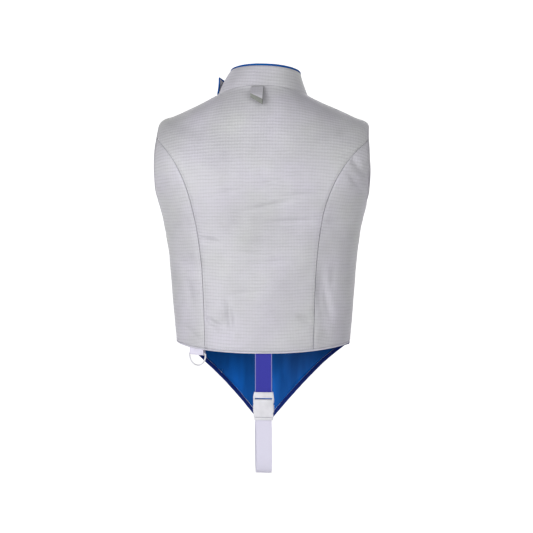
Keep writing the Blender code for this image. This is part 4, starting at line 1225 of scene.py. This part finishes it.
def hard_material(name, colour, roughness, metallic, grain, height):
    """Moulded plastic or cast metal, with a faint grain and rubbed patches."""
    made, tree, shader = new_material(name, roughness, metallic)
    place, _ = coordinates(tree)
    wear = place_group(tree, "cloth_wear", Place=place, Patches=60.0, Grain=grain)
    base = blend_colour(tree, wear["Patches"], tinted(colour, 0.92), tinted(colour, 1.04))
    tree.links.new(base, shader.inputs["Base Color"])
    rough = spread(tree, wear["Grain"], 0, 1, roughness - 0.07, roughness + 0.10)
    tree.links.new(rough, shader.inputs["Roughness"])
    raise_surface(tree, shader, wear["Grain"], height)
    return made


def finish(name):
    """A finish by its name, made once from the scene's settings."""
    made = bpy.data.materials.get(name)
    if made:
        return made
    if not bpy.data.node_groups.get("cloth_wear"):
        ribbed_group()
        wear_group()
        tape_group()
    cloth, trim = bpy.context.scene.lame_cloth, bpy.context.scene.lame_trim
    makers = {
        "lame_cloth": lambda: lame_material(cloth),
        "blue_lining": lambda: lining_material(cloth.lining_colour),
        # The nape tab's dark grey is painted shade under its fold
        "tab_fold_painted_shade": lambda: plain_cloth(name, (0.25, 0.26, 0.24), 0.0008, 0.6, 0.2),
        # The nape tab's near black is a painted shadow in the loop's open side
        "tab_side_painted_shadow": lambda: plain_cloth(name, (0.07, 0.07, 0.08), 0.0008, 0.6, 0.2),
        "collar_piping": lambda: plain_cloth(name, trim.edging_colour, 0.0008, 0.55, slant=0.8),
        "flap_binding": lambda: plain_cloth(name, trim.binding_colour, 0.0009, 0.6, slant=0.8),
        "hem_tape": lambda: plain_cloth(name, (0.62, 0.61, 0.68), 0.0009, 0.6, 0.15),
        "white_tape": lambda: plain_cloth(name, (0.76, 0.73, 0.86), 0.0011, 0.65, 0.14),
        "zip_tape": lambda: plain_cloth(name, (0.50, 0.50, 0.56), 0.0008, 0.7, 0.2),
        "webbing": lambda: plain_cloth(name, trim.webbing_colour, 0.0019, 0.6, 0.22, 0.00035, slant=0.5),
        "elastic": lambda: plain_cloth(name, trim.band_colour, 0.0014, 0.55, 0.30, 0.00025),
        "selvedge": lambda: plain_cloth(name, (0.26, 0.25, 0.50), 0.0012, 0.6, 0.2),
        "silver_thread": lambda: plain_cloth(name, (0.50, 0.49, 0.54), 0.0003, 0.5, 0.2),
        "blue_thread": lambda: plain_cloth(name, (0.02, 0.06, 0.32), 0.0003, 0.6, 0.2),
        "white_thread": lambda: plain_cloth(name, (0.80, 0.78, 0.86), 0.0003, 0.6, 0.2),
        "white_plastic": lambda: hard_material(name, trim.plastic_colour, 0.34, 0.0, 900.0, 0.00001),
        "zip_metal": lambda: hard_material(name, (0.58, 0.58, 0.60), 0.30, 1.0, 1400.0, 0.00001),
    }
    return makers[name]()


def folded_strip(name, route, axes, sizes, finishes, slant=0.0):
    """A strip of a width, thickness and number of columns, down a route of (down, out) steps in axes."""
    width, thickness, columns = sizes
    steps = [Vector((down, out)) for down, out in route]
    run = running_length(steps)
    last = len(steps) - 1

    def place(row, column, depth):
        across = column / columns
        tangent = (steps[min(row + 1, last)] - steps[max(row - 1, 0)]).normalized()
        ply = thickness * (1 - SELVEDGE_THINNING * abs(2 * across - 1) ** 8)
        point = steps[row] + Vector((tangent.y, -tangent.x)) * (0.5 - depth) * ply
        slanting = smooth_step((steps[row].x - TAB_SLANT_START) / TAB_SLANT_SPAN)
        long = 1 + slant * (across - 0.5) * 2 * slanting
        spot = axes @ Vector(((across - 0.5) * width, point.x * long, point.y))
        return spot, ((across - 0.5) * width, run[row])
    return wall(name, columns, last, place, finishes), (width, run[-1], width * run[-1])


def smooth_route(stops, pieces):
    """A smooth curve through stops, with a number of pieces between each two."""
    route = []
    for place in range(len(stops) - 1):
        before = stops[max(place - 1, 0)]
        start, end = stops[place], stops[place + 1]
        after = stops[min(place + 2, len(stops) - 1)]
        for step in range(pieces):
            part = step / pieces
            leave, arrive, rise = (end - before) / 2, (after - start) / 2, end - start
            bend = 3 * rise - 2 * leave - arrive + part * (leave + arrive - 2 * rise)
            route.append(start + part * (leave + part * bend))
    return route + [stops[-1]]


def strap_axes(x, y, z):
    """Axes of a strap on the back: across it, down, and out behind the wearer."""
    axes = Matrix(((-1, 0, 0), (0, 0, 1), (0, -1, 0))).to_4x4()
    axes.translation = (x, y, z)
    return axes


def ring_axes():
    """Axes of the D-ring's tape: along the hem, down, and inwards under the cloth."""
    turn = solve(lambda part: torso_point(part, HEM).x - RING_X, math.radians(10), SIDE_SEAM)
    place = torso_point(turn, HEM)
    out = torso_normal(turn, HEM)
    out.z = 0
    out.normalize()
    down = Vector((0, 0, -1))
    axes = Matrix((down.cross(-out), down, -out)).transposed().to_4x4()
    axes.translation = place + down * HEM_FINISH
    return axes


class LAME_OT_back(bpy.types.Operator):
    """Make the back panel and the two side back pieces"""

    bl_idname = "lame.back"
    bl_label = "Back"

    def execute(self, context):
        finishes = (finish("lame_cloth"), finish("blue_lining"))
        rows = [(level, -back_edge(level), back_edge(level)) for level in TO_HEM]
        back, size = cloth_panel("back_cloth", rows, PANEL_COLUMNS["back"], finishes, PANEL_DIPS["back"])
        declare_cloth(back, size, ["back_panel"])
        for name, side in (("left", 1), ("right", -1)):
            rows = []
            for level in TO_HEM:
                if level >= SEAM_START:
                    first = seam_edge(level) + turn_for(BACK_SEAM_GAP / 2, SIDE_SEAM, level)
                    rows.append((level, side * first, side * side_edge(level, -1)))
            piece, size = cloth_panel(
                f"side_back_cloth_{name}", rows, PANEL_COLUMNS["side_back"], finishes, PANEL_DIPS["side_back"]
            )
            declare_cloth(piece, size, [f"side_back_{name}"])
        return {"FINISHED"}


class LAME_OT_front(bpy.types.Operator):
    """Make the front panel with its flap and the narrow left front piece"""

    bl_idname = "lame.front"
    bl_label = "Front"

    def execute(self, context):
        finishes = (finish("lame_cloth"), finish("blue_lining"))
        full_turn = math.radians(360)
        rows = [(level, zip_edge(level, 1), full_turn - front_edge(level)) for level in TO_HEM]
        for level in FLAP_LEVELS:
            near = zip_edge(level, 1) if level < FRONT_CORNER else flap_turn(level, 1)
            rows.append((level, near, flap_turn(level, -1)))
        front, size = cloth_panel("front_cloth", rows, PANEL_COLUMNS["front"], finishes, PANEL_DIPS["front"])
        declare_cloth(front, size, ["front_panel"])
        rows = [(level, front_edge(level), zip_edge(level, -1)) for level in TO_HEM]
        low = [level for level in FLAP_LEVELS if level <= LEFT_FRONT_END]
        rows += [(level, flap_turn(level, 1), zip_edge(level, -1)) for level in low]
        left, size = cloth_panel(
            "front_left_cloth", rows, PANEL_COLUMNS["front_left"], finishes, PANEL_DIPS["front_left"]
        )
        declare_cloth(left, size, ["front_left_panel"])
        return {"FINISHED"}


class LAME_OT_collar(bpy.types.Operator):
    """Make the standing collar, its blue piping and the loop tab at the nape"""

    bl_idname = "lame.collar"
    bl_label = "Collar"

    def execute(self, context):
        finishes = (finish("lame_cloth"), finish("blue_lining"))
        edges = (lambda turn: 0, lambda turn: 1)
        back, size = collar_piece(
            "collar_back_cloth", COLLAR_BACK_STEPS, back_collar_turn, edges, False, finishes
        )
        declare_cloth(back, size, ["collar_back"])
        edges = (front_collar_low, front_collar_high)
        front, size = collar_piece(
            "collar_front_cloth", COLLAR_FRONT_STEPS, front_collar_turn, edges, True, finishes[:1]
        )
        declare_cloth(front, size, ["collar_front"])
        self.make_piping()
        self.make_tab()
        return {"FINISHED"}

    def make_piping(self):
        """Piping on both upper edges and round the tab's end."""
        inwards = 0.2
        back, front = [], []
        for step in range(COLLAR_BACK_STEPS + 1):
            turn = back_collar_turn(step / COLLAR_BACK_STEPS)
            below = collar_surface(turn, 1 - inwards)
            back.append(Edge(collar_surface(turn, 1), below, collar_normal(turn, 1)))
        for step in range(COLLAR_FRONT_STEPS + 1):
            turn = front_collar_turn(step / COLLAR_FRONT_STEPS)
            high = front_collar_high(turn)
            below = collar_surface(turn, high - inwards, True)
            front.append(Edge(collar_surface(turn, high, True), below, collar_normal(turn, high, True)))
        for step in range(1, TAB_END_STEPS + 1):
            height = TAB_HIGH + (TAB_LOW - TAB_HIGH) * step / TAB_END_STEPS
            beside = collar_surface(TAB_END + inwards / 2, height, True)
            normal = collar_normal(TAB_END, height, True)
            front.append(Edge(collar_surface(TAB_END, height, True), beside, normal))
        for name, path in (("back", back), ("front", front)):
            sizes = (PIPING_WIDTH, PIPING_THICKNESS, COLLAR_WALL)
            piece, size = edging(f"collar_piping_{name}", path, sizes, "collar_piping")
            dress_edging(piece, size, "blue_binding", f"collar_edging_{name}")

    def make_tab(self):
        """The folded loop tab, sewn under the collar."""
        first, middle, last = TAB_LEVELS
        turn = solve(lambda part: torso_point(part, middle).x - TAB_X, -SIDE_SEAM / 4, SIDE_SEAM / 2)
        top = torso(turn, first)
        out = torso_normal(turn, middle)
        down = torso(turn, last) - top
        down = (down - out * down.dot(out)).normalized()
        axes = Matrix((out.cross(down), down, out)).transposed().to_4x4()
        axes.translation = top
        route = smooth_route([Vector(step) for step in TAB_ROUTE], 5)
        finishes = (finish("lame_cloth"), finish("tab_fold_painted_shade"), finish("tab_side_painted_shadow"))
        tab, size = folded_strip("nape_tab_cloth", route, axes, (TAB_WIDTH, TAB_PLY, 18), finishes, TAB_SLANT)
        layer = tab.data.uv_layers["Cloth"].data
        for face in tab.data.polygons:
            spots = [layer[loop].uv for loop in face.loop_indices]
            down = sum(spot.y for spot in spots) / len(spots)
            side = sum(abs(spot.x) for spot in spots) / len(spots)
            # Faces on the plies' cut sides get a near-black painted shadow for the gap between the plies
            if side > TAB_WIDTH / 2 - TAB_PLY / 4:
                face.material_index = 2
            # Faces round the fold's underside get a dark grey painted shade
            elif TAB_PAINTED_SHADE_SPAN[0] < down < TAB_PAINTED_SHADE_SPAN[1]:
                face.material_index = 1
        declare_cloth(tab, size, ["nape_tab"])


class LAME_OT_bindings(bpy.types.Operator):
    """Make the bindings of the armholes, the back hem and the flap"""

    bl_idname = "lame.bindings"
    bl_label = "Bindings"

    def execute(self, context):
        for name, side in (("left", 1), ("right", -1)):
            piece, size = self.armhole(f"armhole_binding_{name}", side)
            dress_edging(piece, size, "lame", f"armhole_edging_{name}")
        path = []
        reach = SIDE_SEAM - turn_for(SEAM_GAP, SIDE_SEAM, HEM)
        for step in range(HEM_STEPS + 1):
            turn = -reach + 2 * reach * step / HEM_STEPS
            path.append(torso_edge(turn, HEM, torso(turn, HEM - 0.5)))
        piece, size = edging("hem_binding", path, (EDGING_WIDTH, EDGING_THICKNESS, WALL), "hem_tape")
        dress_edging(piece, size, "pale_tape", "hem_edging")
        self.flap()
        return {"FINISHED"}

    def armhole(self, name, side):
        """The binding round one armhole."""
        apart = turn_for(SEAM_GAP / 2, SIDE_SEAM, UNDERARM)
        route = [(SIDE_SEAM - apart, UNDERARM)]
        route += [(armhole_turn(level, -1), level) for level in reversed(ARMHOLE_LEVELS[1:-1])]
        route += [(shoulder_turn(SHOULDER_TIP), SHOULDER_TIP)]
        route += [(armhole_turn(level, 1), level) for level in ARMHOLE_LEVELS[1:-1]]
        route += [(SIDE_SEAM + apart, UNDERARM)]
        path = []
        for turn, level in route:
            point = torso(side * turn, level)
            hole = Vector((point.x, ARMHOLE_Y, ARMHOLE_Z))
            path.append(torso_edge(side * turn, level, point + (point - hole)))
        return edging(name, path, (EDGING_WIDTH, EDGING_THICKNESS, WALL), "lame_cloth")

    def flap(self):
        """The dark binding down both of the flap's slanting edges and round its tip."""
        middle = torso(math.radians(180), HEM)
        upright = Vector((0, 0, FLAP_EDGING_WIDTH))
        first = FLAP_LEVELS[0]
        edges = {}
        for side in (1, -1):
            corner = torso(side * SIDE_SEAM, HEM).lerp(torso(flap_turn(first, side), first), FLAP_START)
            edges[side] = [Edge(corner, corner + upright, torso_normal(side * SIDE_SEAM, HEM))]
            edges[side] += [torso_edge(flap_turn(level, side), level, middle) for level in FLAP_LEVELS]
        right, left = edges[-1], edges[1]
        across = [right[-1].point.lerp(left[-1].point, share / 10) for share in range(1, 10)]
        tip = [Edge(point, middle, right[-1].normal) for point in across]
        sizes = (FLAP_EDGING_WIDTH, EDGING_THICKNESS, WALL)
        piece, size = edging("flap_binding", right + tip + left[::-1], sizes, "flap_binding")
        dress_edging(piece, size, "blue_binding", "flap_edging_right", "flap_edging_left")


class LAME_OT_zip(bpy.types.Operator):
    """Make the zip's tape and teeth, and finish its slider and pull"""

    bl_idname = "lame.zip"
    bl_label = "Zip"

    def execute(self, context):
        points, normals = self.behind_zip(TO_HEM, ZIP_TAPE_WIDTH, ZIP_TAPE_COLUMNS)
        downs = running_length([line[-1] for line in points])
        flat = [[(across, down) for across in running_length(line)] for line, down in zip(points, downs)]
        tape, size = cloth_wall(
            "zip_tape_cloth", points, normals, flat, ZIP_TAPE_THICKNESS, (finish("zip_tape"),)
        )
        declare_cloth(tape, size, ["zip_tape"])
        self.facing()
        teeth = self.teeth()
        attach(teeth, GARMENT)
        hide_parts("zip_chain")
        for name in ("zip_slider", "zip_pull"):
            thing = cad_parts[name]
            for slot in thing.material_slots:
                slot.material = finish("zip_metal")
        return {"FINISHED"}

    def behind_zip(self, levels, width, columns):
        """Rows of points and directions for a strip behind the zip."""
        points, normals = [], []
        for level in levels:
            middle = zip_turn(level)
            shares = [column / columns - 0.5 for column in range(columns + 1)]
            turns = [middle + turn_for(share * width, middle, level) for share in shares]
            points.append([torso(turn, level, WALL + ROOM) for turn in turns])
            normals.append([torso_normal(turn, level) for turn in turns])
        return points, normals

    def facing(self):
        """A strip of lining behind the seam that carries on from the zip's end."""
        levels = [HEM - FACING_OVERLAP, HEM]
        levels += [level for level in FLAP_LEVELS if level < LEFT_FRONT_END - FACING_SHORT]
        points, normals = self.behind_zip(levels, FACING_WIDTH, FACING_COLUMNS)
        strip, size = cloth_wall(
            "zip_facing", points, normals, laid_flat(points), ZIP_TAPE_THICKNESS / 2, (finish("blue_lining"),)
        )
        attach(strip, GARMENT)

    def teeth(self):
        """Two rows of meshing teeth down the slot."""
        levels = [level for level in TO_HEM if level < ZIP_END + ZIP_STOP]
        line = [torso(zip_turn(level), level, ZIP_CHAIN_THICKNESS / 2) for level in levels]
        outs = [torso_normal(zip_turn(level), level) for level in levels]
        shape = bmesh.new()
        side = 1
        for point, down, here in places_along(line, TOOTH_PITCH / 2, TOOTH_PITCH / 2):
            out = (outs[here] - down * outs[here].dot(down)).normalized()
            across = down.cross(out)
            turned = (Matrix((across, down, out)).transposed() @ Matrix.Diagonal(TOOTH_SIZE)).to_4x4()
            turned.translation = point + across * side * TOOTH_OFFSET
            bmesh.ops.create_cube(shape, size=1, matrix=turned)
            side = -side
        edges = shape.edges[:]
        bmesh.ops.bevel(
            shape, geom=edges, offset=TOOTH_BEVEL, segments=1, profile=0.5, affect="EDGES", material=-1
        )
        return new_object("zip_teeth", shape, (finish("zip_metal"),), 35)


class LAME_OT_strap(bpy.types.Operator):
    """Make the elastic band, the buckle and the webbing"""

    bl_idname = "lame.strap"
    bl_label = "Strap"

    def execute(self, context):
        self.band()
        self.buckle_half("buckle_top", "buckle_plug", PLUG_BLOCKS, PLUG_BAR_LENGTH, BAND_BAR_DROP)
        self.buckle_half(
            "buckle_bottom", "buckle_socket", SOCKET_BLOCKS, SOCKET_BAR_LENGTH, BUCKLE_FOOT - WEB_BAR_RISE
        )
        self.webbing()
        return {"FINISHED"}

    def band(self):
        """The elastic band, folded round the buckle's bar, with pale selvedges."""
        bar = BAND_TOP_Z - BUCKLE_TOP_Z + BAND_BAR_DROP
        route = [(stop, 0) for stop in BAND_STOPS] + [(bar, 0)]
        for step in range(1, FOLD_STEPS):
            angle = math.pi * step / FOLD_STEPS
            route.append((bar + BAND_FOLD * math.sin(angle), BAND_FOLD * (math.cos(angle) - 1)))
        route += [(bar, -2 * BAND_FOLD), (bar - BAND_TAIL_FREE, -2 * BAND_FOLD)]
        route.append((bar - BAND_TAIL, -BAND_THICKNESS - ROOM))
        axes = strap_axes(BAND_X, BAND_Y, BAND_TOP_Z)
        sizes = (BAND_WIDTH, BAND_THICKNESS, 24)
        band, size = folded_strip("elastic_band_cloth", route, axes, sizes, (finish("elastic"),))
        band.data.materials.append(finish("selvedge"))
        layer = band.data.uv_layers["Cloth"].data
        for face in band.data.polygons:
            middle = sum(abs(layer[loop].uv.x) for loop in face.loop_indices) / face.loop_total
            if middle > BAND_WIDTH / 2 - SELVEDGE:
                face.material_index = 1
        declare_cloth(band, size, ["elastic_band"])

    def buckle_half(self, name, node, blocks, bar_length, bar_down):
        """One half of the buckle, its blocks rounded and its top tapered, with its bar."""
        shape = bmesh.new()
        for size, (across, down, out), rounding, sided in blocks:
            for side in (-1, 1) if sided else (1,):
                made = bmesh.ops.create_cube(shape, size=1)["verts"]
                bmesh.ops.scale(shape, verts=made, vec=size)
                edges = list({edge for point in made for edge in point.link_edges})
                rounded = bmesh.ops.bevel(
                    shape, geom=edges, offset=rounding, segments=3, profile=0.5, affect="EDGES", material=-1
                )
                made = list({point for point in made if point.is_valid} | set(rounded["verts"]))
                bmesh.ops.translate(shape, verts=made, vec=(side * across, down, out))
        for point in shape.verts:
            short = max(1 - point.co.y / BUCKLE_TAPER_LENGTH, 0)
            point.co.x *= 1 - BUCKLE_TAPER * short
        radii = {"radius1": BUCKLE_BAR_RADIUS, "radius2": BUCKLE_BAR_RADIUS}
        bar = bmesh.ops.create_cone(shape, cap_ends=True, segments=20, depth=bar_length, **radii)["verts"]
        bmesh.ops.rotate(shape, verts=bar, matrix=Matrix.Rotation(math.radians(90), 3, "Y"))
        bmesh.ops.translate(shape, verts=bar, vec=(0, bar_down, BUCKLE_MID))
        bmesh.ops.transform(shape, matrix=strap_axes(BAND_X, BAND_Y, BUCKLE_TOP_Z), verts=shape.verts)
        bmesh.ops.recalc_face_normals(shape, faces=shape.faces)
        piece = new_object(name, shape, (finish("white_plastic"),), 35)
        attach(piece, GARMENT)
        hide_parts(node)

    def webbing(self):
        """The webbing, from over the buckle's bar down and round to the inside of the flap's tip."""
        foot = Vector((BAND_X, BAND_Y + BUCKLE_MID, BUCKLE_TOP_Z - BUCKLE_FOOT))
        turn = math.radians(180) - WEB_END_TURN
        sewn = WALL + ROOM + WEB_HOLLOW + WEB_THICKNESS / 2
        tip = torso(turn, FLAP_TIP, sewn)
        run = [foot + Vector(step) for step in WEB_RUN]
        run += [tip + Vector(WEB_NEAR_TIP), tip + Vector(WEB_AT_TIP), torso(turn, FLAP_TIP - 0.5, sewn)]
        bar_z = foot.z + WEB_BAR_RISE
        hook = []
        for step in range(FOLD_STEPS + 1):
            angle = math.pi * (1 - step / FOLD_STEPS)
            place = Vector((BAND_X, foot.y + WEB_FOLD * math.cos(angle), bar_z + WEB_FOLD * math.sin(angle)))
            hook.append(place)
        route = [foot + Vector(step) for step in WEB_TAIL] + hook + smooth_route(run, WEB_PIECES)
        lengths = running_length(route)
        last = len(route) - 1

        def place(row, column, depth):
            across = column / WEB_COLUMNS - 0.5
            tangent = route[min(row + 1, last)] - route[max(row - 1, 0)]
            tangent.x = 0
            tangent.normalize()
            normal = Vector((0, -tangent.z, tangent.y))
            ply = WEB_THICKNESS * (1 - WEB_THINNING * abs(2 * across) ** 8)
            point = route[row] + Vector((across * WEB_WIDTH, 0, 0)) + normal * (0.5 - depth) * ply
            return point, (across * WEB_WIDTH, lengths[row])
        strap = wall("webbing_strap", WEB_COLUMNS, last, place, (finish("webbing"),))
        size = (WEB_WIDTH, lengths[-1], WEB_WIDTH * lengths[-1])
        declare_cloth(strap, size, ["crotch_strap"])


class LAME_OT_ring(bpy.types.Operator):
    """Make the D-ring and its tape"""

    bl_idname = "lame.ring"
    bl_label = "D-ring"

    def execute(self, context):
        axes = ring_axes()
        ply = RING_AXIS_DEPTH - RING_WIRE - RING_ROOM - RING_TAPE_PLY / 2
        fold = RING_AXIS_DEPTH - ply
        route = [(RING_TAPE_TOP, ply), (RING_TAPE_TOP / 2, ply), (0, ply), (RING_AXIS_DROP, ply)]
        for step in range(1, FOLD_STEPS):
            angle = math.pi * step / FOLD_STEPS
            route.append((RING_AXIS_DROP + fold * math.sin(angle), RING_AXIS_DEPTH - fold * math.cos(angle)))
        back = RING_AXIS_DEPTH + fold
        inner = ply + RING_TAPE_PLY + RING_ROOM
        route += [(RING_AXIS_DROP, back), (0.0015, back - RING_TAPE_PLY)]
        route += [(-0.0030, inner + RING_TAPE_PLY * 1.4), (-0.0065, inner), (RING_TAPE_TOP, inner)]
        sizes = (RING_TAPE_WIDTH, RING_TAPE_PLY, 16)
        tape, size = folded_strip("ring_tape_cloth", route, axes, sizes, (finish("white_tape"),))
        declare_cloth(tape, size, ["ring_tape"])
        ring = self.ring(axes)
        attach(ring, "d_ring")
        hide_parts("d_ring")
        return {"FINISHED"}

    def ring(self, axes):
        """A straight bar in the tape and a half round below it, swept as one round wire."""
        straight = RING_HALF_WIDTH - RING_CORNER
        stops = [(-RING_HALF_WIDTH / 2, 0), (RING_HALF_WIDTH / 2, 0), (straight, 0)]
        stops.append((RING_HALF_WIDTH, RING_KNEE))
        for step in range(RING_STEPS + 1):
            angle = math.pi * step / RING_STEPS
            down = RING_SHOULDER + RING_HALF_WIDTH * math.sin(angle)
            stops.append((RING_HALF_WIDTH * math.cos(angle), down))
        stops += [(-RING_HALF_WIDTH, RING_KNEE), (-straight, 0)]
        curve = bpy.data.curves.new("d_ring_wire", "CURVE")
        curve.dimensions = "3D"
        curve.bevel_depth = RING_WIRE * RING_SLIM
        curve.bevel_resolution = 6
        spline = curve.splines.new("POLY")
        spline.points.add(len(stops) - 1)
        for point, (across, down) in zip(spline.points, stops):
            spot = axes @ Vector((across, RING_AXIS_DROP + down, RING_AXIS_DEPTH))
            point.co = (*spot, 1)
        spline.use_cyclic_u = True
        wire = bpy.data.objects.new("d_ring_wire", curve)
        bpy.context.collection.objects.link(wire)
        mesh = bpy.data.meshes.new_from_object(wire.evaluated_get(bpy.context.evaluated_depsgraph_get()))
        bpy.data.objects.remove(wire, do_unlink=True)
        shape = bmesh.new()
        shape.from_mesh(mesh)
        bmesh.ops.recalc_face_normals(shape, faces=shape.faces)
        return new_object("d_ring_plastic", shape, (finish("white_plastic"),), 60)


class LAME_OT_stitching(bpy.types.Operator):
    """Sew the visible rows of stitches on the seams, edges and bindings"""

    bl_idname = "lame.stitching"
    bl_label = "Stitching"

    def execute(self, context):
        seam_levels = [level for level in TO_HEM if level >= SEAM_START + SEAM_STITCH_START]
        armhole = [level for level in ARMHOLE_LEVELS[1:-1] if level < SEAM_START]
        body = [level for level in ARMHOLE_LEVELS[1:-1] if level > SEAM_START + 2 * SEAM_STITCH_START]
        inset = EDGE_STITCH_INSET
        silver = []
        for side in (1, -1):
            silver.append(edge_line(seam_edge, -TOP_STITCH_INSET, seam_levels, side))
            silver.append(edge_line(lambda level: armhole_turn(level, -1), -inset, armhole, side))
            silver.append(edge_line(lambda level: armhole_turn(level, -1), -inset, body, side))
            silver.append(edge_line(lambda level: armhole_turn(level, 1), inset, ARMHOLE_LEVELS[2:-2], side))
        self.sewn("seam_stitches", silver, "silver_thread", "lame")
        level = HEM - HEM_STITCH_RISE
        turns = [HEM_STITCH_TURN * (2 * step / HEM_STEPS - 1) for step in range(HEM_STEPS + 1)]
        dip = seam_dip(HEM_STITCH_INSET)
        line = [(torso(turn, level, dip), torso_normal(turn, level)) for turn in turns]
        self.sewn("hem_stitches", [line], "white_thread", "pale_tape")
        full = [level for level in TO_HEM + FLAP_LEVELS if level < LEFT_FRONT_END]
        right = edge_line(lambda level: zip_edge(level, 1), inset, full, dip=ZIP_STITCH_DIP)
        left = edge_line(lambda level: zip_edge(level, -1), -inset, full, dip=ZIP_STITCH_DIP)
        self.sewn("zip_stitches", [right, left], "silver_thread", "lame")
        return {"FINISHED"}

    def sewn(self, name, lines, thread, slot):
        """One object of rows of stitches, riding on the garment."""
        shape = bmesh.new()
        for line in lines:
            stitch_row(shape, line)
        piece = new_object(name, shape, (finish(thread),))
        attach(piece, GARMENT)


class LAME_OT_stage(bpy.types.Operator):
    """Make the pale floor and backdrop, the soft lights and the camera"""

    bl_idname = "lame.stage"
    bl_label = "Stage"

    def execute(self, context):
        settings = context.scene.lame_stage
        self.backdrop(settings.floor_colour)
        self.lights(settings.key_power)
        camera = bpy.data.cameras.new("camera")
        camera.lens = CAMERA_LENS
        viewer = bpy.data.objects.new("camera", camera)
        viewer.location = CAMERA_PLACE
        aim = Vector(CAMERA_AIM) - Vector(CAMERA_PLACE)
        viewer.rotation_euler = aim.to_track_quat("-Z", "Y").to_euler()
        context.collection.objects.link(viewer)
        context.scene.camera = viewer
        context.scene.view_settings.view_transform = "Standard"
        return {"FINISHED"}

    def backdrop(self, colour):
        """A floor that rises in one soft bend behind the vest."""
        shape = bmesh.new()
        bmesh.ops.create_grid(shape, x_segments=1, y_segments=1, size=FLOOR_REACH)
        bmesh.ops.translate(shape, verts=shape.verts, vec=(0, FLOOR_SHIFT, FLOOR_Z))
        far = [edge for edge in shape.edges if all(point.co.y < 0 for point in edge.verts)]
        raised = bmesh.ops.extrude_edge_only(shape, edges=far)["geom"]
        lifted = [part for part in raised if isinstance(part, bmesh.types.BMVert)]
        bmesh.ops.translate(shape, verts=lifted, vec=(0, 0, FLOOR_REACH))
        bmesh.ops.bevel(
            shape, geom=far, offset=FLOOR_BEND, segments=16, profile=0.5, affect="EDGES", material=-1
        )
        made, tree, shader = new_material(
            "pale_floor", 0.9, Emission_Strength=FLOOR_GLOW, Specular_IOR_Level=0.0
        )
        place = tree.nodes.new("ShaderNodeTexCoord").outputs["Object"]
        base = blend_colour(tree, noise_value(tree, place, 3.0), tinted(colour, 0.99), tinted(colour, 1.01))
        tree.links.new(base, shader.inputs["Base Color"])
        risen = spread(tree, parts_of(tree, place)[2], FLOOR_Z, FLOOR_Z + FLOOR_DIM)
        seen = tree.nodes.new("ShaderNodeLightPath").outputs["Is Camera Ray"]
        risen = calc(tree, "MAXIMUM", risen, seen)
        tree.links.new(blend_colour(tree, risen, (0, 0, 0), (1, 1, 1)), shader.inputs["Emission Color"])
        floor = new_object("floor", shape, (made,), 60)
        floor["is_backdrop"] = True

    def lights(self, power):
        """Soft lights behind at the picture's left and right and one in front, and a pale world."""
        for name, place, share in LIGHTS:
            light = bpy.data.lights.new(name, "AREA")
            light.size = LIGHT_SIZE
            light.energy = power * share
            lamp = bpy.data.objects.new(name, light)
            lamp.location = place
            aim = Vector(LIGHT_AIM) - Vector(place)
            lamp.rotation_euler = aim.to_track_quat("-Z", "Y").to_euler()
            bpy.context.collection.objects.link(lamp)
        world = bpy.data.worlds.new("studio")
        world.use_nodes = True
        tree = world.node_tree
        heading = tree.nodes.new("ShaderNodeTexCoord").outputs["Generated"]
        rise = spread(tree, parts_of(tree, heading)[2], -0.1, 0.9)
        sky = blend_colour(tree, rise, (WORLD_LOW,) * 3, (WORLD_HIGH,) * 3)
        seen = tree.nodes.new("ShaderNodeLightPath").outputs["Is Camera Ray"]
        sky = blend_colour(tree, seen, sky, (1, 1, 1))
        tree.links.new(sky, tree.nodes["Background"].inputs["Color"])
        bpy.context.scene.world = world


class LAME_PT_panel(bpy.types.Panel):
    """The vest's settings and pieces in the sidebar"""

    bl_idname = "LAME_PT_panel"
    bl_label = "Foil lame"
    bl_space_type = "VIEW_3D"
    bl_region_type = "UI"
    bl_category = "Foil lame"

    def draw(self, context):
        for settings in (context.scene.lame_cloth, context.scene.lame_trim, context.scene.lame_stage):
            box = self.layout.box()
            for name in settings.__annotations__:
                box.prop(settings, name)
        for maker in MAKERS:
            self.layout.operator(maker.bl_idname)


SETTINGS = {"lame_cloth": ClothSettings, "lame_trim": TrimSettings, "lame_stage": StageSettings}
MAKERS = (
    LAME_OT_back, LAME_OT_front, LAME_OT_collar, LAME_OT_bindings, LAME_OT_zip, LAME_OT_strap, LAME_OT_ring,
    LAME_OT_stitching, LAME_OT_stage,
)


def register():
    """Register the settings, the operators and the panel."""
    for name, group in SETTINGS.items():
        bpy.utils.register_class(group)
        setattr(bpy.types.Scene, name, bpy.props.PointerProperty(type=group))
    for maker in (*MAKERS, LAME_PT_panel):
        bpy.utils.register_class(maker)


def unregister():
    """Take everything out again, in the opposite order."""
    for maker in reversed((*MAKERS, LAME_PT_panel)):
        bpy.utils.unregister_class(maker)
    for name, group in reversed(SETTINGS.items()):
        delattr(bpy.types.Scene, name)
        bpy.utils.unregister_class(group)


def main():
    """Make the whole vest and its stage."""
    register()
    bpy.ops.lame.back()
    bpy.ops.lame.front()
    bpy.ops.lame.collar()
    bpy.ops.lame.bindings()
    bpy.ops.lame.zip()
    bpy.ops.lame.strap()
    bpy.ops.lame.ring()
    bpy.ops.lame.stitching()
    bpy.ops.lame.stage()
    boxes = {"cad": START_BOX, "visual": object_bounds()}
    {name: [list(corner) for corner in box] for name, box in boxes.items()}


if __name__ == "__main__":
    main()
